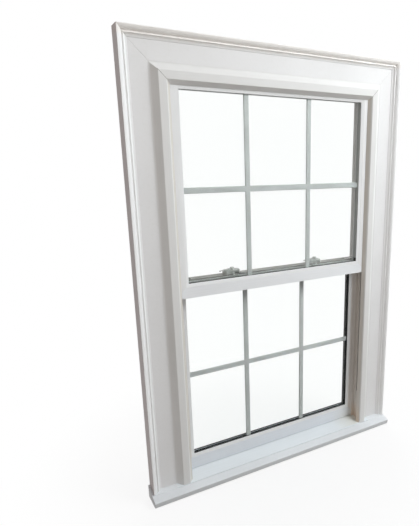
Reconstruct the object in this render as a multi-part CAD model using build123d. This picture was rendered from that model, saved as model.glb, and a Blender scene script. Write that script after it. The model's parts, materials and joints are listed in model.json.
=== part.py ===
"""Double-hung sash window with its frame, outside casing and sill nose.

Millimetres. X runs to the right as seen from outside, Y runs into the room, Z is up.
The origin is the centre of the frame's underside; the casing's back lies on the wall plane.
"""
import os
from math import atan2, cos, radians, sin, tan

from build123d import *

# Daylight opening between the outer lips of the frame
opening_width = 760.0
opening_height = 1312.0

# Frame extrusion: lip, sloped riser, tracks and stops
frame_depth = 96.0
frame_cover = 38.0
frame_wall = 2.4
lip_face = 23.0
riser_run = 22.8
riser_rise = 17.0
riser_foot = 4.0
riser_sweep_share = 0.9
riser_round = 3.0
lip_bevel_run = 12.5
lip_round = 1.5
stop_depth = 13.5
parting_thickness = 3.5
parting_reach = 9.0
inner_stop_reach = 10.0
jamb_track_recess = 2.0
head_track_recess = 19.0

# Balance pockets in the jambs
pocket_depth = 21.6
pocket_width = 25.0
slot_width = 12.0
slot_cover_top = 167.0
slot_cover_flange = 18.0
slot_cover_flange_thickness = 1.5
fixing_hole_radius = 3.0
fixing_hole_low = 300.0
fixing_hole_spacing = 800.0

# Sill of the frame
sill_front_height = 32.0
sill_seat_height = 46.0
sill_dam_height = 62.0
sill_web_shares = (0.34, 0.66)

# Outside casing
casing_thickness = 31.0
casing_flat = 53.2
moulding_step = 1.5
ovolo_run = 10.0
ovolo_rise = 7.5
ovolo_bulge = 1.9
quirk_run = 3.0
quirk_sink = 2.5
quirk_flat = 2.0
cove_run = 12.3
cove_bulge = 2.2
outer_flat = 2.0
outer_round = 1.5

# Sill nose
nose_projection = 30.0
nose_bottom = 2.0
nose_step = 2.0
nose_undercut = 4.0
nose_overhang = 5.7
nose_round = 2.5
drip_inset = 5.0
drip_width = 4.0
drip_depth = 3.0

# Sash extrusions
sash_thickness = 32.0
track_front_gap = 0.5
track_back_gap = 2.0
sash_wall = 2.2
web_depth = 10.0
stile_face = 39.0
top_rail_face = 39.0
meeting_rail_face = 47.0
lower_top_face = 41.0
bottom_rail_face = 56.0
leg_chamfer = 1.0
meeting_height = 693.0
lower_top_rise = 5.0
head_clearance = 2.0
sill_clearance = 2.0
hook_share = 0.2
hook_depth = 7.0
hook_drop = 20.0
lift_height = 36.0
lift_reach = 10.0
lift_thickness = 2.6
lift_lip = 3.0
lift_round = 1.0

# Sealed glass unit, its bead and its grille
bead_width = 11.5
bead_flat = 2.5
bead_setback = 0.6
bead_lip = 0.8
glass_setback = 4.5
pane_thickness = 3.0
glass_gap = 13.0
glass_clearance = 0.3
spacer_inset = 0.5
grille_width = 19.0
grille_thickness = 6.0
grille_chamfer = 1.8
grille_place_share = 0.35

# Pile strips on the stiles and bulb seal under the lower sash
pile_base = 5.0
pile_base_depth = 1.2
pile_width = 3.0
pile_clearance = 0.3
pile_inset = 5.0
seal_width = 8.0
seal_foot = 0.6
seal_clearance = 0.3
seal_inset = 7.0

# Pivot bars, balance shoes, coils and strips
bar_thickness = 6.0
bar_inset = 40.0
bar_reach = 16.0
shoe_height = 46.0
shoe_clearance = 0.4
shoe_corner = 2.0
coil_radius = 8.8
coil_width = 14.0
coil_plate = 2.5
coil_plate_rise = 26.0
upper_coil_drop = 76.0
lower_coil_drop = 55.0
strip_thickness = 0.6
strip_width = 12.0
strip_clearance = 0.3
strip_overlap = 4.0

# Tilt latches in the top rails
latch_length = 54.0
latch_width = 13.8
latch_nose = 6.5
latch_nose_width = 6.8
latch_nose_bevel = 3.0
latch_travel = 8.0
latch_clearance = 0.3
latch_sink = 0.6
latch_grip_width = 2.4
latch_grip_pitch = 5.0
latch_grip_depth = 1.6
latch_grips = 3

# Cam locks on the lower sash and keepers on the upper sash
lock_place_share = 0.5
lock_length = 58.0
lock_depth = 29.6
lock_height = 14.0
lock_top_wall = 3.0
lock_side_wall = 1.7
lock_front_inset = 0.6
lock_corner = 6.0
lock_edge = 3.0
lock_mouth_left = 8.0
lock_mouth_right = 22.0
lock_mouth_height = 6.0
pivot_inset = 7.0
pivot_pin_radius = 3.2
pivot_clearance = 0.3
hub_radius = 7.0
hub_height = 8.7
lever_length = 46.0
lever_width = 9.0
lever_tip_width = 7.0
lever_root_height = 6.5
lever_tip_height = 3.0
lever_tip_drop = 3.0
lever_flat_reach = 38.0
cam_lift = 0.6
cam_thickness = 4.0
cam_hub_radius = 7.5
cam_reach = 20.0
cam_finger = 3.8
cam_finger_lead = 14.0
cam_finger_trail = 40.0
cam_neck_angle = 16.0
cam_clearance = 0.6
keeper_length = 44.0
keeper_plate = 2.0
keeper_wall = 1.6
keeper_gap = 0.6
keeper_height = 10.5
keeper_angle = 15.0
keeper_inset = 0.3
screw_shank_radius = 1.6
screw_head_radius = 3.2
screw_head_height = 1.8
screw_length = 9.0
screw_clearance = 0.15
lock_screw_offset = 24.4
lock_screw_inset = 17.0
keeper_screw_offset = 16.0

# One overrun for every cut, the tolerance for finding a named corner, and the rays of a sector
overrun = 1.0
corner_tolerance = 0.01
sector_ray_shares = (0.0, 0.33, 0.67, 1.0)
sector_reach_share = 2.0

# Places worked out from the sizes above
half_opening = opening_width / 2
opening_top = sill_front_height + opening_height
shoulder = lip_face + riser_run
shoulder_half = half_opening + shoulder
frame_half = half_opening + frame_cover
frame_top = opening_top + shoulder
front_y = -frame_depth / 2
back_y = frame_depth / 2
casing_flat_y = front_y + riser_rise
riser_end = (shoulder - riser_foot, casing_flat_y)
riser_turn = atan2(riser_rise, riser_run - riser_foot)
riser_sweep = riser_sweep_share * riser_foot / tan(riser_turn / 2)
wall_y = casing_flat_y + casing_thickness
outer_track_y = front_y + stop_depth
upper_front_y = outer_track_y + track_front_gap
upper_back_y = upper_front_y + sash_thickness
parting_y = upper_back_y + track_back_gap
inner_track_y = parting_y + parting_thickness
lower_front_y = inner_track_y + track_front_gap
lower_back_y = lower_front_y + sash_thickness
inner_stop_y = lower_back_y + track_back_gap
upper_slot_y = (upper_front_y + upper_back_y) / 2
lower_slot_y = (lower_front_y + lower_back_y) / 2
pocket_front = jamb_track_recess + frame_wall
pocket_back = pocket_front + pocket_depth
casing_reach = shoulder + casing_flat + ovolo_run + quirk_run + quirk_flat + cove_run + outer_flat
nose_top = sill_front_height - nose_step
upper_top = opening_top + head_track_recess - head_clearance
upper_bottom = meeting_height
lower_top = meeting_height + meeting_rail_face + lower_top_rise
lower_bottom = sill_seat_height + sill_clearance
leg_setback = glass_setback + pane_thickness + glass_gap + pane_thickness
sash_gap = lower_front_y - upper_back_y
sight_half = half_opening - stile_face
reach = casing_reach + opening_top + half_opening

UPPER = dict(
    name="upper",
    front=upper_front_y,
    slot=upper_slot_y,
    top=upper_top,
    bottom=upper_bottom,
    top_face=top_rail_face,
    bottom_face=meeting_rail_face,
    top_name="top_rail",
    bottom_name="meeting_rail",
    coil=upper_top - upper_coil_drop,
)
LOWER = dict(
    name="lower",
    front=lower_front_y,
    slot=lower_slot_y,
    top=lower_top,
    bottom=lower_bottom,
    top_face=lower_top_face,
    bottom_face=bottom_rail_face,
    top_name="meeting_rail",
    bottom_name="bottom_rail",
    coil=lower_top - lower_coil_drop,
)
SIDES = {"left": -1, "right": 1}
lock_place = sight_half * lock_place_share


def rectangle(u0, u1, v0, v1):
    """A flat rectangle between two corners."""
    return Polygon((u0, v0), (u1, v0), (u1, v1), (u0, v1), align=None)


def block(x0, x1, y0, y1, z0, z1):
    """A box between two corners."""
    size = (x1 - x0, y1 - y0, z1 - z0)
    return Pos((x0 + x1) / 2, (y0 + y1) / 2, (z0 + z1) / 2) * Box(*size)


def chamber(*points):
    """The hollow left inside a region when its walls are taken off all round."""
    return offset(Polygon(*points, align=None), -frame_wall, kind=Kind.INTERSECTION)


def soften(section, corners, radius):
    """Rounds the named corners of a flat section."""
    picked = [
        v
        for v in section.vertices()
        if any((Vector(v.X, v.Y) - Vector(*c)).length < corner_tolerance for c in corners)
    ]
    return fillet(picked, radius)


def along(section, origin, sideways):
    """Runs a section both ways along a member; its first axis points sideways, its second is Y."""
    plane = Plane(origin, x_dir=sideways, z_dir=Vector(*sideways).cross(Vector(0, 1, 0)))
    return extrude(plane * section, reach, both=True)


def slab(points, y0, y1):
    """A plate whose outline is given across the window, from one depth to another."""
    plane = Plane((0, y0, 0), x_dir=(1, 0, 0), z_dir=(0, -1, 0))
    return extrude(plane * Polygon(*points, align=None), y1 - y0, dir=(0, 1, 0))


def across(section, half_length):
    """Runs a section drawn in depth and height along X, both ways from the middle."""
    plane = Plane((0, 0, 0), x_dir=(0, 1, 0), z_dir=(1, 0, 0))
    return extrude(plane * section, half_length, both=True)


def upright(section, z0, z1):
    """Raises a section drawn in plan from one height to another."""
    return extrude(Pos(0, 0, z0) * section, z1 - z0, dir=(0, 0, 1))


def mirrored(points, side):
    """The same outline on the left or the right of the window."""
    return [(side * x, z) for x, z in points]


def single(shape):
    """The one solid of a shape."""
    return shape.solid()


def frame_outline(track):
    """Outline of the frame extrusion; the first axis points away from the opening."""
    section = Polygon(
        (0, front_y),
        (lip_face, front_y),
        riser_end,
        (shoulder, casing_flat_y),
        (shoulder, wall_y),
        (frame_cover, wall_y),
        (frame_cover, back_y),
        (-inner_stop_reach, back_y),
        (-inner_stop_reach, inner_stop_y),
        (track, inner_stop_y),
        (track, inner_track_y),
        (-parting_reach, inner_track_y),
        (-parting_reach, parting_y),
        (track, parting_y),
        (track, outer_track_y),
        (-lip_bevel_run, outer_track_y),
        align=None,
    )
    section = soften(section, [(0, front_y), (-inner_stop_reach, back_y)], lip_round)
    section = soften(section, [(lip_face, front_y)], riser_round)
    return soften(section, [riser_end], riser_sweep)


def nose_region(track, deep, step_y):
    """Region of the outer lip and riser, down to the track or the balance pocket."""
    return (
        (0, front_y),
        (lip_face, front_y),
        riser_end,
        (shoulder, casing_flat_y),
        (shoulder, wall_y),
        (deep, wall_y),
        (deep, step_y),
        (track, step_y),
        (track, outer_track_y),
        (-lip_bevel_run, outer_track_y),
    )


def head_section():
    """Section of the frame's head, with deep tracks and no balance pockets."""
    track = head_track_recess
    nose = nose_region(track, track + frame_wall, outer_track_y - frame_wall)
    shell = frame_outline(track) - chamber(
        *nose[:5], (track, wall_y), (track, outer_track_y), nose[-1]
    )
    shell -= chamber((track, wall_y), (frame_cover, wall_y), (frame_cover, back_y), (track, back_y))
    deep = track + frame_wall
    return shell - chamber(
        (-inner_stop_reach, inner_stop_y), (deep, inner_stop_y), (deep, back_y), (-inner_stop_reach, back_y)
    )


def jamb_section():
    """Section of a jamb: two tracks, each with a slotted balance pocket, and closed chambers."""
    track = jamb_track_recess
    half_pocket = pocket_width / 2
    upper_front = upper_slot_y - half_pocket
    shell = frame_outline(track) - chamber(*nose_region(track, pocket_back, upper_front))
    shell -= chamber(
        (pocket_back, wall_y), (frame_cover, wall_y), (frame_cover, back_y), (pocket_back, back_y)
    )
    deep = pocket_back + frame_wall
    shell -= chamber(
        (-inner_stop_reach, inner_stop_y), (deep, inner_stop_y), (deep, back_y), (-inner_stop_reach, back_y)
    )
    between = (upper_slot_y + half_pocket, lower_slot_y - half_pocket)
    shell -= chamber((track, between[0]), (deep, between[0]), (deep, between[1]), (track, between[1]))
    for slot_y in (upper_slot_y, lower_slot_y):
        shell -= rectangle(pocket_front, pocket_back, slot_y - half_pocket, slot_y + half_pocket)
        half_slot = slot_width / 2
        shell -= rectangle(track - overrun, pocket_front + overrun, slot_y - half_slot, slot_y + half_slot)
    return shell


def sill_line(y):
    """Height of the sill's sloped top at a depth."""
    share = (y - front_y) / (parting_y - front_y)
    return sill_front_height + share * (sill_seat_height - sill_front_height)


def sill_outline():
    """Outline of the frame's sill in depth and height, without its chambers."""
    return Polygon(
        (front_y, 0),
        (back_y, 0),
        (back_y, sill_dam_height),
        (inner_stop_y, sill_dam_height),
        (inner_stop_y, sill_seat_height),
        (parting_y, sill_seat_height),
        (front_y, sill_front_height),
        align=None,
    )


def sill_envelope():
    """The sill's outline run past both ends, for cutting the feet of what stands on it."""
    return across(sill_outline(), reach)


def make_sill():
    """Sloped hollow sill with three chambers, notched where it enters the wall."""
    web_a, web_b = (front_y + share * frame_depth for share in sill_web_shares)
    half_web = frame_wall / 2
    section = sill_outline()
    section -= chamber(
        (front_y, 0), (web_a + half_web, 0), (web_a + half_web, sill_line(web_a)), (front_y, sill_front_height)
    )
    section -= chamber(
        (web_a - half_web, 0),
        (web_b + half_web, 0),
        (web_b + half_web, sill_seat_height),
        (parting_y, sill_seat_height),
        (web_a - half_web, sill_line(web_a)),
    )
    section -= chamber(
        (web_b - half_web, 0),
        (back_y, 0),
        (back_y, sill_dam_height),
        (inner_stop_y, sill_dam_height),
        (inner_stop_y, sill_seat_height),
        (web_b - half_web, sill_seat_height),
    )
    sill = across(section, shoulder_half)
    for side in SIDES.values():
        ends = sorted((side * frame_half, side * (shoulder_half + overrun)))
        sill -= block(*ends, wall_y, back_y + overrun, -overrun, sill_dam_height + overrun)
    return single(sill)


def mitre_side(bottom, width):
    """Outline of an upright that meets the head at 45 degrees."""
    return [
        (half_opening - width, bottom),
        (half_opening + width, bottom),
        (half_opening + width, opening_top + width),
        (half_opening - width, opening_top - width),
    ]


def mitre_head(width):
    """Outline of a head that meets both uprights at 45 degrees."""
    return [
        (-half_opening - width, opening_top + width),
        (half_opening + width, opening_top + width),
        (half_opening - width, opening_top - width),
        (-half_opening + width, opening_top - width),
    ]


def make_head():
    """Mitred head of the frame."""
    bar = along(head_section(), (0, 0, opening_top), (0, 0, 1))
    return single(bar & slab(mitre_head(shoulder + overrun), front_y, back_y))


def make_jamb(side):
    """Jamb, mitred at the head, coped onto the sill and drilled for two fixing screws."""
    bar = along(jamb_section(), (side * half_opening, 0, 0), (side, 0, 0))
    jamb = bar & slab(mirrored(mitre_side(0, shoulder + overrun), side), front_y, back_y)
    jamb -= sill_envelope()
    for height in (fixing_hole_low, fixing_hole_low + fixing_hole_spacing):
        hole = Cylinder(fixing_hole_radius, frame_cover, rotation=(0, 90, 0))
        jamb -= Pos(side * frame_half, lower_slot_y, height) * hole
    return single(jamb)


def casing_section():
    """Flat casing with an ovolo, a sunk quirk and a cove rising to its outer edge."""
    flat_end = (shoulder + casing_flat, casing_flat_y)
    step = (flat_end[0], flat_end[1] - moulding_step)
    ovolo_end = (step[0] + ovolo_run, step[1] - ovolo_rise)
    quirk = (ovolo_end[0] + quirk_run, ovolo_end[1] + quirk_sink)
    quirk_end = (quirk[0] + quirk_flat, quirk[1])
    cove_end = (quirk_end[0] + cove_run, front_y)
    edge = (casing_reach, front_y)
    outline = Polyline((shoulder, wall_y), (shoulder, casing_flat_y), flat_end, step)
    outline += SagittaArc(step, ovolo_end, ovolo_bulge)
    outline += Polyline(ovolo_end, quirk, quirk_end)
    outline += SagittaArc(quirk_end, cove_end, -cove_bulge)
    outline += Polyline(cove_end, edge, (casing_reach, wall_y), (shoulder, wall_y))
    return soften(make_face(outline), [edge], outer_round)


def make_casing_side(side):
    """Upright casing, mitred at the top and coped onto the sill nose's sloped horn."""
    bar = along(casing_section(), (side * half_opening, 0, 0), (side, 0, 0))
    outline = mitre_side(0, casing_reach + overrun)
    casing = bar & slab(mirrored(outline, side), front_y, wall_y)
    return single(casing - sill_envelope())


def make_casing_head():
    """Casing over the head, mitred at both ends."""
    bar = along(casing_section(), (0, 0, opening_top), (0, 0, 1))
    return single(bar & slab(mitre_head(casing_reach + overrun), front_y, wall_y))


def make_sill_nose():
    """Nose a step below the sill, following its slope; a horn carries the slope on under each casing."""
    nose_y = front_y - nose_projection
    top_corner = (nose_y, sill_line(nose_y) - nose_step)
    bottom_corner = (nose_y + nose_undercut, nose_bottom)
    section = Polygon((front_y, nose_bottom), bottom_corner, top_corner, (front_y, nose_top), align=None)
    section = soften(section, [top_corner, bottom_corner], nose_round)
    drip_y = nose_y + nose_undercut + drip_inset
    section -= rectangle(drip_y, drip_y + drip_width, nose_bottom - overrun, nose_bottom + drip_depth)
    nose_half = half_opening + casing_reach + nose_overhang
    nose = across(section, nose_half)
    horn = Polygon(
        (front_y, nose_bottom),
        (front_y, sill_front_height),
        (wall_y, sill_line(wall_y)),
        (wall_y, nose_bottom),
        align=None,
    )
    horns = across(horn, nose_half)
    horns -= block(-shoulder_half, shoulder_half, front_y, wall_y, 0, sill_dam_height)
    return single(nose + horns)


def make_slot_cover(side):
    """T-shaped filler that closes the foot of the outer track's slot."""
    half_slot = slot_width / 2
    half_flange = slot_cover_flange / 2
    section = rectangle(jamb_track_recess, pocket_front, upper_slot_y - half_slot, upper_slot_y + half_slot)
    section += rectangle(
        pocket_front,
        pocket_front + slot_cover_flange_thickness,
        upper_slot_y - half_flange,
        upper_slot_y + half_flange,
    )
    bar = along(section, (side * half_opening, 0, 0), (side, 0, 0))
    span = sorted((side * half_opening, side * frame_half))
    cover = bar & block(*span, front_y, back_y, 0, slot_cover_top)
    return single(cover - sill_envelope())


def sash_section(face, grooved):
    """Section of a sash member; the first axis points from its outer edge to the glass."""
    body = face - bead_width
    section = Polygon(
        (0, 0),
        (body, 0),
        (body, leg_setback),
        (face, leg_setback),
        (face, sash_thickness - leg_chamfer),
        (face - leg_chamfer, sash_thickness),
        (0, sash_thickness),
        align=None,
    )
    inside = sash_thickness - sash_wall
    section -= rectangle(sash_wall, web_depth, sash_wall, inside)
    section -= rectangle(web_depth + sash_wall, body - sash_wall, sash_wall, inside)
    if grooved:
        for middle in (pile_inset, sash_thickness - pile_inset):
            half = pile_base / 2
            section -= rectangle(-overrun, pile_base_depth, middle - half, middle + half)
    return section


def stile_ends(sash):
    """Heights at which a stile's outer edge ends below and above, from its 45 degree mitres."""
    low = sash["bottom"] + sash["bottom_face"] - stile_face
    high = sash["top"] - sash["top_face"] + stile_face
    return low, high


def stile_outline(sash):
    """Mitred outline of the right stile, across the window."""
    low, high = stile_ends(sash)
    return [
        (half_opening, low),
        (half_opening, high),
        (sight_half, sash["top"] - sash["top_face"]),
        (sight_half, sash["bottom"] + sash["bottom_face"]),
    ]


def rail_outline(edge, stile_end, sight):
    """Mitred outline of a rail, from its outer edge to its sight line."""
    return [
        (-half_opening, edge),
        (half_opening, edge),
        (half_opening, stile_end),
        (sight_half, sight),
        (-sight_half, sight),
        (-half_opening, stile_end),
    ]


def member(section, sash, origin, inward, outline):
    """A mitred sash member or bead: a section run along it, cut to its outline."""
    back = sash["front"] + sash_thickness
    bar = along(section, (origin[0], sash["front"], origin[1]), inward)
    return bar & slab(outline, sash["front"], back)


def ring(sash, section_of):
    """The four mitred members of a sash, from a function that gives the section for a face width."""
    low, high = stile_ends(sash)
    top, bottom = sash["top"], sash["bottom"]
    rails = (
        ("top", top, (0, 0, -1), rail_outline(top, high, top - sash["top_face"]), sash["top_face"]),
        ("bottom", bottom, (0, 0, 1), rail_outline(bottom, low, bottom + sash["bottom_face"]), sash["bottom_face"]),
    )
    pieces = {}
    for place, edge, inward, outline, face in rails:
        pieces[place] = member(section_of(face, False), sash, (0, edge), inward, outline)
    for place, side in SIDES.items():
        outline = mirrored(stile_outline(sash), side)
        pieces[place] = member(
            section_of(stile_face, True), sash, (side * half_opening, 0), (-side, 0, 0), outline
        )
    return pieces


def bar_block(sash, side):
    """Space of a pivot bar, from the bottom rail's outer chamber into the balance pocket."""
    span = sorted((side * (half_opening - bar_inset), side * (half_opening + bar_reach)))
    half = bar_thickness / 2
    low = sash["bottom"] + sash_wall
    return block(*span, sash["slot"] - half, sash["slot"] + half, low, sash["bottom"] + web_depth)


def latch_pocket(sash, side):
    """Pocket for a tilt latch, routed from the end of a top rail down to its web."""
    inner = half_opening - latch_length - latch_travel - overrun
    span = sorted((side * inner, side * (half_opening + overrun)))
    half = latch_width / 2 + latch_clearance
    return block(
        *span, sash["slot"] - half, sash["slot"] + half, sash["top"] - web_depth, sash["top"] + overrun
    )


def upper_hook():
    """Interlock on the back of the upper meeting rail: an arm with a lip turned up."""
    wall = hook_share * sash_gap
    reach_y = upper_back_y + sash_gap - wall
    low = lower_top - hook_drop - hook_depth - wall
    arm = block(-sight_half, sight_half, upper_back_y, reach_y, low, low + wall)
    lip = block(-sight_half, sight_half, reach_y - wall, reach_y, low, low + hook_depth - wall)
    return arm + lip


def lower_hook():
    """Interlock on the front of the lower meeting rail: an arm with a lip turned down."""
    wall = hook_share * sash_gap
    reach_y = lower_front_y - sash_gap + wall
    high = lower_top - hook_drop
    arm = block(-sight_half, sight_half, reach_y, lower_front_y, high - wall, high)
    lip = block(-sight_half, sight_half, reach_y, reach_y + wall, high - hook_depth + wall, high)
    return arm + lip


def lift_rail():
    """Finger lip along the inside of the lower bottom rail, its edge turned down."""
    low = lower_bottom + lift_height
    high = low + lift_thickness
    tip = lower_back_y + lift_reach
    inner = tip - lift_thickness
    section = Polygon(
        (lower_back_y, low),
        (lower_back_y, high),
        (tip, high),
        (tip, low - lift_lip),
        (inner, low - lift_lip),
        (inner, low),
        align=None,
    )
    section = soften(section, [(tip, high), (tip, low - lift_lip), (inner, low - lift_lip)], lift_round)
    return across(section, sight_half)


def screw_holes(places):
    """Clearance holes for screws that go down from the given points."""
    radius = screw_shank_radius + screw_clearance
    depth = screw_length + overrun
    return [Pos(x, y, z - screw_length / 2) * Cylinder(radius, depth) for x, y, z in places]


def lock_screw_places():
    """Seats of the lock screws on the lower meeting rail."""
    y = lower_front_y + lock_screw_inset
    return [
        (side * lock_place + end * lock_screw_offset, y, lower_top)
        for side in SIDES.values()
        for end in SIDES.values()
    ]


def keeper_screw_places():
    """Seats of the keeper screws on the upper meeting rail's inner leg."""
    y = (upper_front_y + leg_setback + upper_back_y) / 2
    z = upper_bottom + meeting_rail_face
    return [
        (side * lock_place + end * keeper_screw_offset, y, z)
        for side in SIDES.values()
        for end in SIDES.values()
    ]


def make_sash_members(sash):
    """Rails and stiles of a sash, hollow, mitred, and cut for latches, pivot bars and screws."""
    pieces = ring(sash, sash_section)
    for side in SIDES.values():
        for place in ("top", "left", "right"):
            pieces[place] -= latch_pocket(sash, side)
        for place in ("bottom", "left", "right"):
            pieces[place] -= bar_block(sash, side)
    if sash is UPPER:
        pieces["bottom"] += upper_hook()
        for hole in screw_holes(keeper_screw_places()):
            pieces["bottom"] -= hole
    else:
        pieces["top"] += lower_hook()
        pieces["bottom"] += lift_rail()
        for hole in screw_holes(lock_screw_places()):
            pieces["top"] -= hole
    names = {
        "top": sash["top_name"],
        "bottom": sash["bottom_name"],
        "left": "stile_left",
        "right": "stile_right",
    }
    return {f"{sash['name']}_{names[place]}": single(piece) for place, piece in pieces.items()}


def bead_section(face, grooved):
    """Glazing bead: a small flat, then a slope down to the glass."""
    body = face - bead_width
    return Polygon(
        (body, bead_setback),
        (body + bead_flat, bead_setback),
        (face, glass_setback - bead_lip),
        (face, glass_setback),
        (body, glass_setback),
        align=None,
    )


def make_beads(sash):
    """Four mitred glazing beads on the outer face of the glass."""
    return Compound(children=[single(piece) for piece in ring(sash, bead_section).values()])


def glass_sheet(sash, setback, thickness, inset):
    """A rectangular layer of the glass unit, inset all round from the glazing rebate."""
    half = half_opening - stile_face + bead_width - inset
    low = sash["bottom"] + sash["bottom_face"] - bead_width + inset
    high = sash["top"] - sash["top_face"] + bead_width - inset
    y = sash["front"] + setback
    return block(-half, half, y, y + thickness, low, high)


def make_glass(sash):
    """Outer pane, inner pane and the spacer frame that seals them."""
    inner_setback = glass_setback + pane_thickness + glass_gap
    gap_setback = glass_setback + pane_thickness
    spacer = glass_sheet(sash, gap_setback, glass_gap, glass_clearance + spacer_inset)
    spacer -= glass_sheet(sash, gap_setback, glass_gap, bead_width - spacer_inset)
    name = sash["name"]
    return {
        f"{name}_outer_pane": single(glass_sheet(sash, glass_setback, pane_thickness, glass_clearance)),
        f"{name}_inner_pane": single(glass_sheet(sash, inner_setback, pane_thickness, glass_clearance)),
        f"{name}_spacer": single(spacer),
    }


def make_grille(sash):
    """Flat grille bars between the panes: two upright, one level, reaching the spacer."""
    half_w, half_t = grille_width / 2, grille_thickness / 2
    edge = half_w - grille_chamfer
    section = Polygon(
        (-half_w, 0), (-edge, -half_t), (edge, -half_t), (half_w, 0), (edge, half_t), (-edge, half_t), align=None
    )
    y = sash["front"] + glass_setback + pane_thickness + glass_gap / 2
    low = sash["bottom"] + sash["bottom_face"]
    high = sash["top"] - sash["top_face"]
    space = glass_sheet(sash, 0, sash_thickness, bead_width - spacer_inset)
    bars = along(section, (0, y, (low + high) / 2), (0, 0, 1))
    for side in SIDES.values():
        bars += along(section, (side * grille_place_share * sight_half, y, 0), (side, 0, 0))
    return single(bars & space)


def make_pile(sash):
    """Pile strips in the outer edges of the stiles, two to a stile, ending at the mitres."""
    low, high = stile_ends(sash)
    low, high = low + pile_base_depth, high - pile_base_depth
    strips = []
    for side in SIDES.values():
        for middle in (pile_inset, sash_thickness - pile_inset):
            y = sash["front"] + middle
            foot = sorted((side * (half_opening - pile_base_depth), side * half_opening))
            tip = half_opening + jamb_track_recess - pile_clearance
            pile = sorted((side * half_opening, side * tip))
            strip = block(*foot, y - pile_base / 2, y + pile_base / 2, low, high)
            strip += block(*pile, y - pile_width / 2, y + pile_width / 2, low, high)
            strips.append(single(strip))
    return Compound(children=strips)


def make_bottom_seal():
    """Bulb seal under the lower sash."""
    y = lower_front_y + seal_inset
    top = lower_bottom
    low = sill_seat_height + seal_clearance
    shoulder_z = top - seal_foot
    outline = Polyline((y, shoulder_z), (y, top), (y + seal_width, top), (y + seal_width, shoulder_z))
    outline += ThreePointArc((y + seal_width, shoulder_z), (y + seal_width / 2, low), (y, shoulder_z))
    return single(across(make_face(outline), half_opening))


def make_shoe(sash, side):
    """Balance shoe that holds a pivot bar and runs in the pocket."""
    u0, u1 = pocket_front + shoe_clearance, pocket_back - shoe_clearance
    half = pocket_width / 2 - shoe_clearance
    section = rectangle(u0, u1, -half, half)
    section = chamfer(section.vertices(), shoe_corner)
    low = sash["bottom"]
    shoe = upright(section, low, low + shoe_height)
    shoe = Pos(half_opening, sash["slot"], 0) * shoe
    shoe -= bar_block(sash, 1)
    return single(shoe if side > 0 else mirror(shoe, Plane.YZ))


def coil_depth():
    """Distance of a coil's axis from the opening's edge."""
    return pocket_back - coil_radius - shoe_clearance


def make_coil(sash, side):
    """Constant-force coil on its plate, fixed to the back of the balance pocket."""
    z = sash["coil"]
    drum = Pos(half_opening + coil_depth(), sash["slot"], z) * Cylinder(
        coil_radius, coil_width, rotation=(90, 0, 0)
    )
    back = half_opening + pocket_back
    half = coil_width / 2
    plate = block(
        back - coil_plate, back, sash["slot"] - half, sash["slot"] + half, z - coil_radius, z + coil_plate_rise
    )
    coil = drum + plate
    return single(coil if side > 0 else mirror(coil, Plane.YZ))


def make_strip(sash, side):
    """Spring strip from a shoe up to its coil."""
    u1 = half_opening + coil_depth() - coil_radius - strip_clearance
    span = sorted((side * (u1 - strip_thickness), side * u1))
    half = strip_width / 2
    low = sash["bottom"] + shoe_height
    return single(block(*span, sash["slot"] - half, sash["slot"] + half, low, sash["coil"] + strip_overlap))


def make_latch(sash, side):
    """Tilt latch: a sliding body with a bevelled nose that enters the jamb's slot, and finger grips."""
    half, half_nose = latch_width / 2, latch_nose_width / 2
    tail = half_opening - latch_length
    shoulder_x = half_opening - latch_nose_bevel
    tip = half_opening + latch_nose
    section = Polygon(
        (tail, -half),
        (shoulder_x, -half),
        (shoulder_x, -half_nose),
        (tip, -half_nose),
        (tip, half_nose - latch_nose_bevel),
        (tip - latch_nose_bevel, half_nose),
        (shoulder_x, half_nose),
        (shoulder_x, half),
        (tail, half),
        align=None,
    )
    top = sash["top"] - latch_sink
    latch = Pos(0, sash["slot"], 0) * upright(section, sash["top"] - web_depth, top)
    for n in range(latch_grips):
        x = tail + latch_grip_pitch * (n + 1)
        latch -= block(
            x, x + latch_grip_width, sash["slot"] - half_nose, sash["slot"] + half_nose, top - latch_grip_depth, top
        )
    return single(latch if side > 0 else mirror(latch, Plane.YZ))


def sector(inner, outer, start, end):
    """A ring sector in plan; angles in degrees from the outside, growing towards the right."""
    ring_plan = Circle(outer) - Circle(inner)
    rays = [radians(start + (end - start) * share) for share in sector_ray_shares]
    far = sector_reach_share * outer
    rim = [(far * sin(ray), -far * cos(ray)) for ray in rays]
    return ring_plan & Polygon((0, 0), *rim, align=None)


def lock_pivot(side):
    """Place of a lock's pivot on the lower meeting rail."""
    return side * lock_place, lower_front_y + pivot_inset


def make_lock_base(side):
    """Lock housing: a bevelled body with a pocket and a mouth for the cam, and a pivot hole."""
    x, pivot_y = lock_pivot(side)
    y = lower_front_y + lock_front_inset + lock_depth / 2
    plan = chamfer(Rectangle(lock_length, lock_depth).vertices(), lock_corner)
    shell = extrude(plan, lock_height)
    shell = chamfer(shell.faces().sort_by(Axis.Z)[-1].edges(), lock_edge)
    half_pocket = cam_reach + cam_clearance
    half_depth = lock_depth / 2 - lock_side_wall
    shell -= block(-half_pocket, half_pocket, -half_depth, half_depth, 0, lock_height - lock_top_wall)
    pivot = Cylinder(pivot_pin_radius + pivot_clearance, lock_height + overrun)
    shell -= Pos(0, pivot_y - y, lock_height) * pivot
    shell = Pos(x, y, lower_top) * shell
    radius = screw_shank_radius + screw_clearance
    for screw_x, screw_y, seat in lock_screw_places():
        shell -= Pos(screw_x, screw_y, seat + lock_height / 2) * Cylinder(radius, lock_height + overrun)
        sink = Cylinder(screw_head_radius + screw_clearance, screw_head_height)
        shell -= Pos(screw_x, screw_y, seat + lock_height - screw_head_height / 2) * sink
    shell -= block(
        x - lock_mouth_left,
        x + lock_mouth_right,
        lower_front_y - overrun,
        pivot_y,
        lower_top - overrun,
        lower_top + lock_mouth_height,
    )
    return single(shell)


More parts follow.
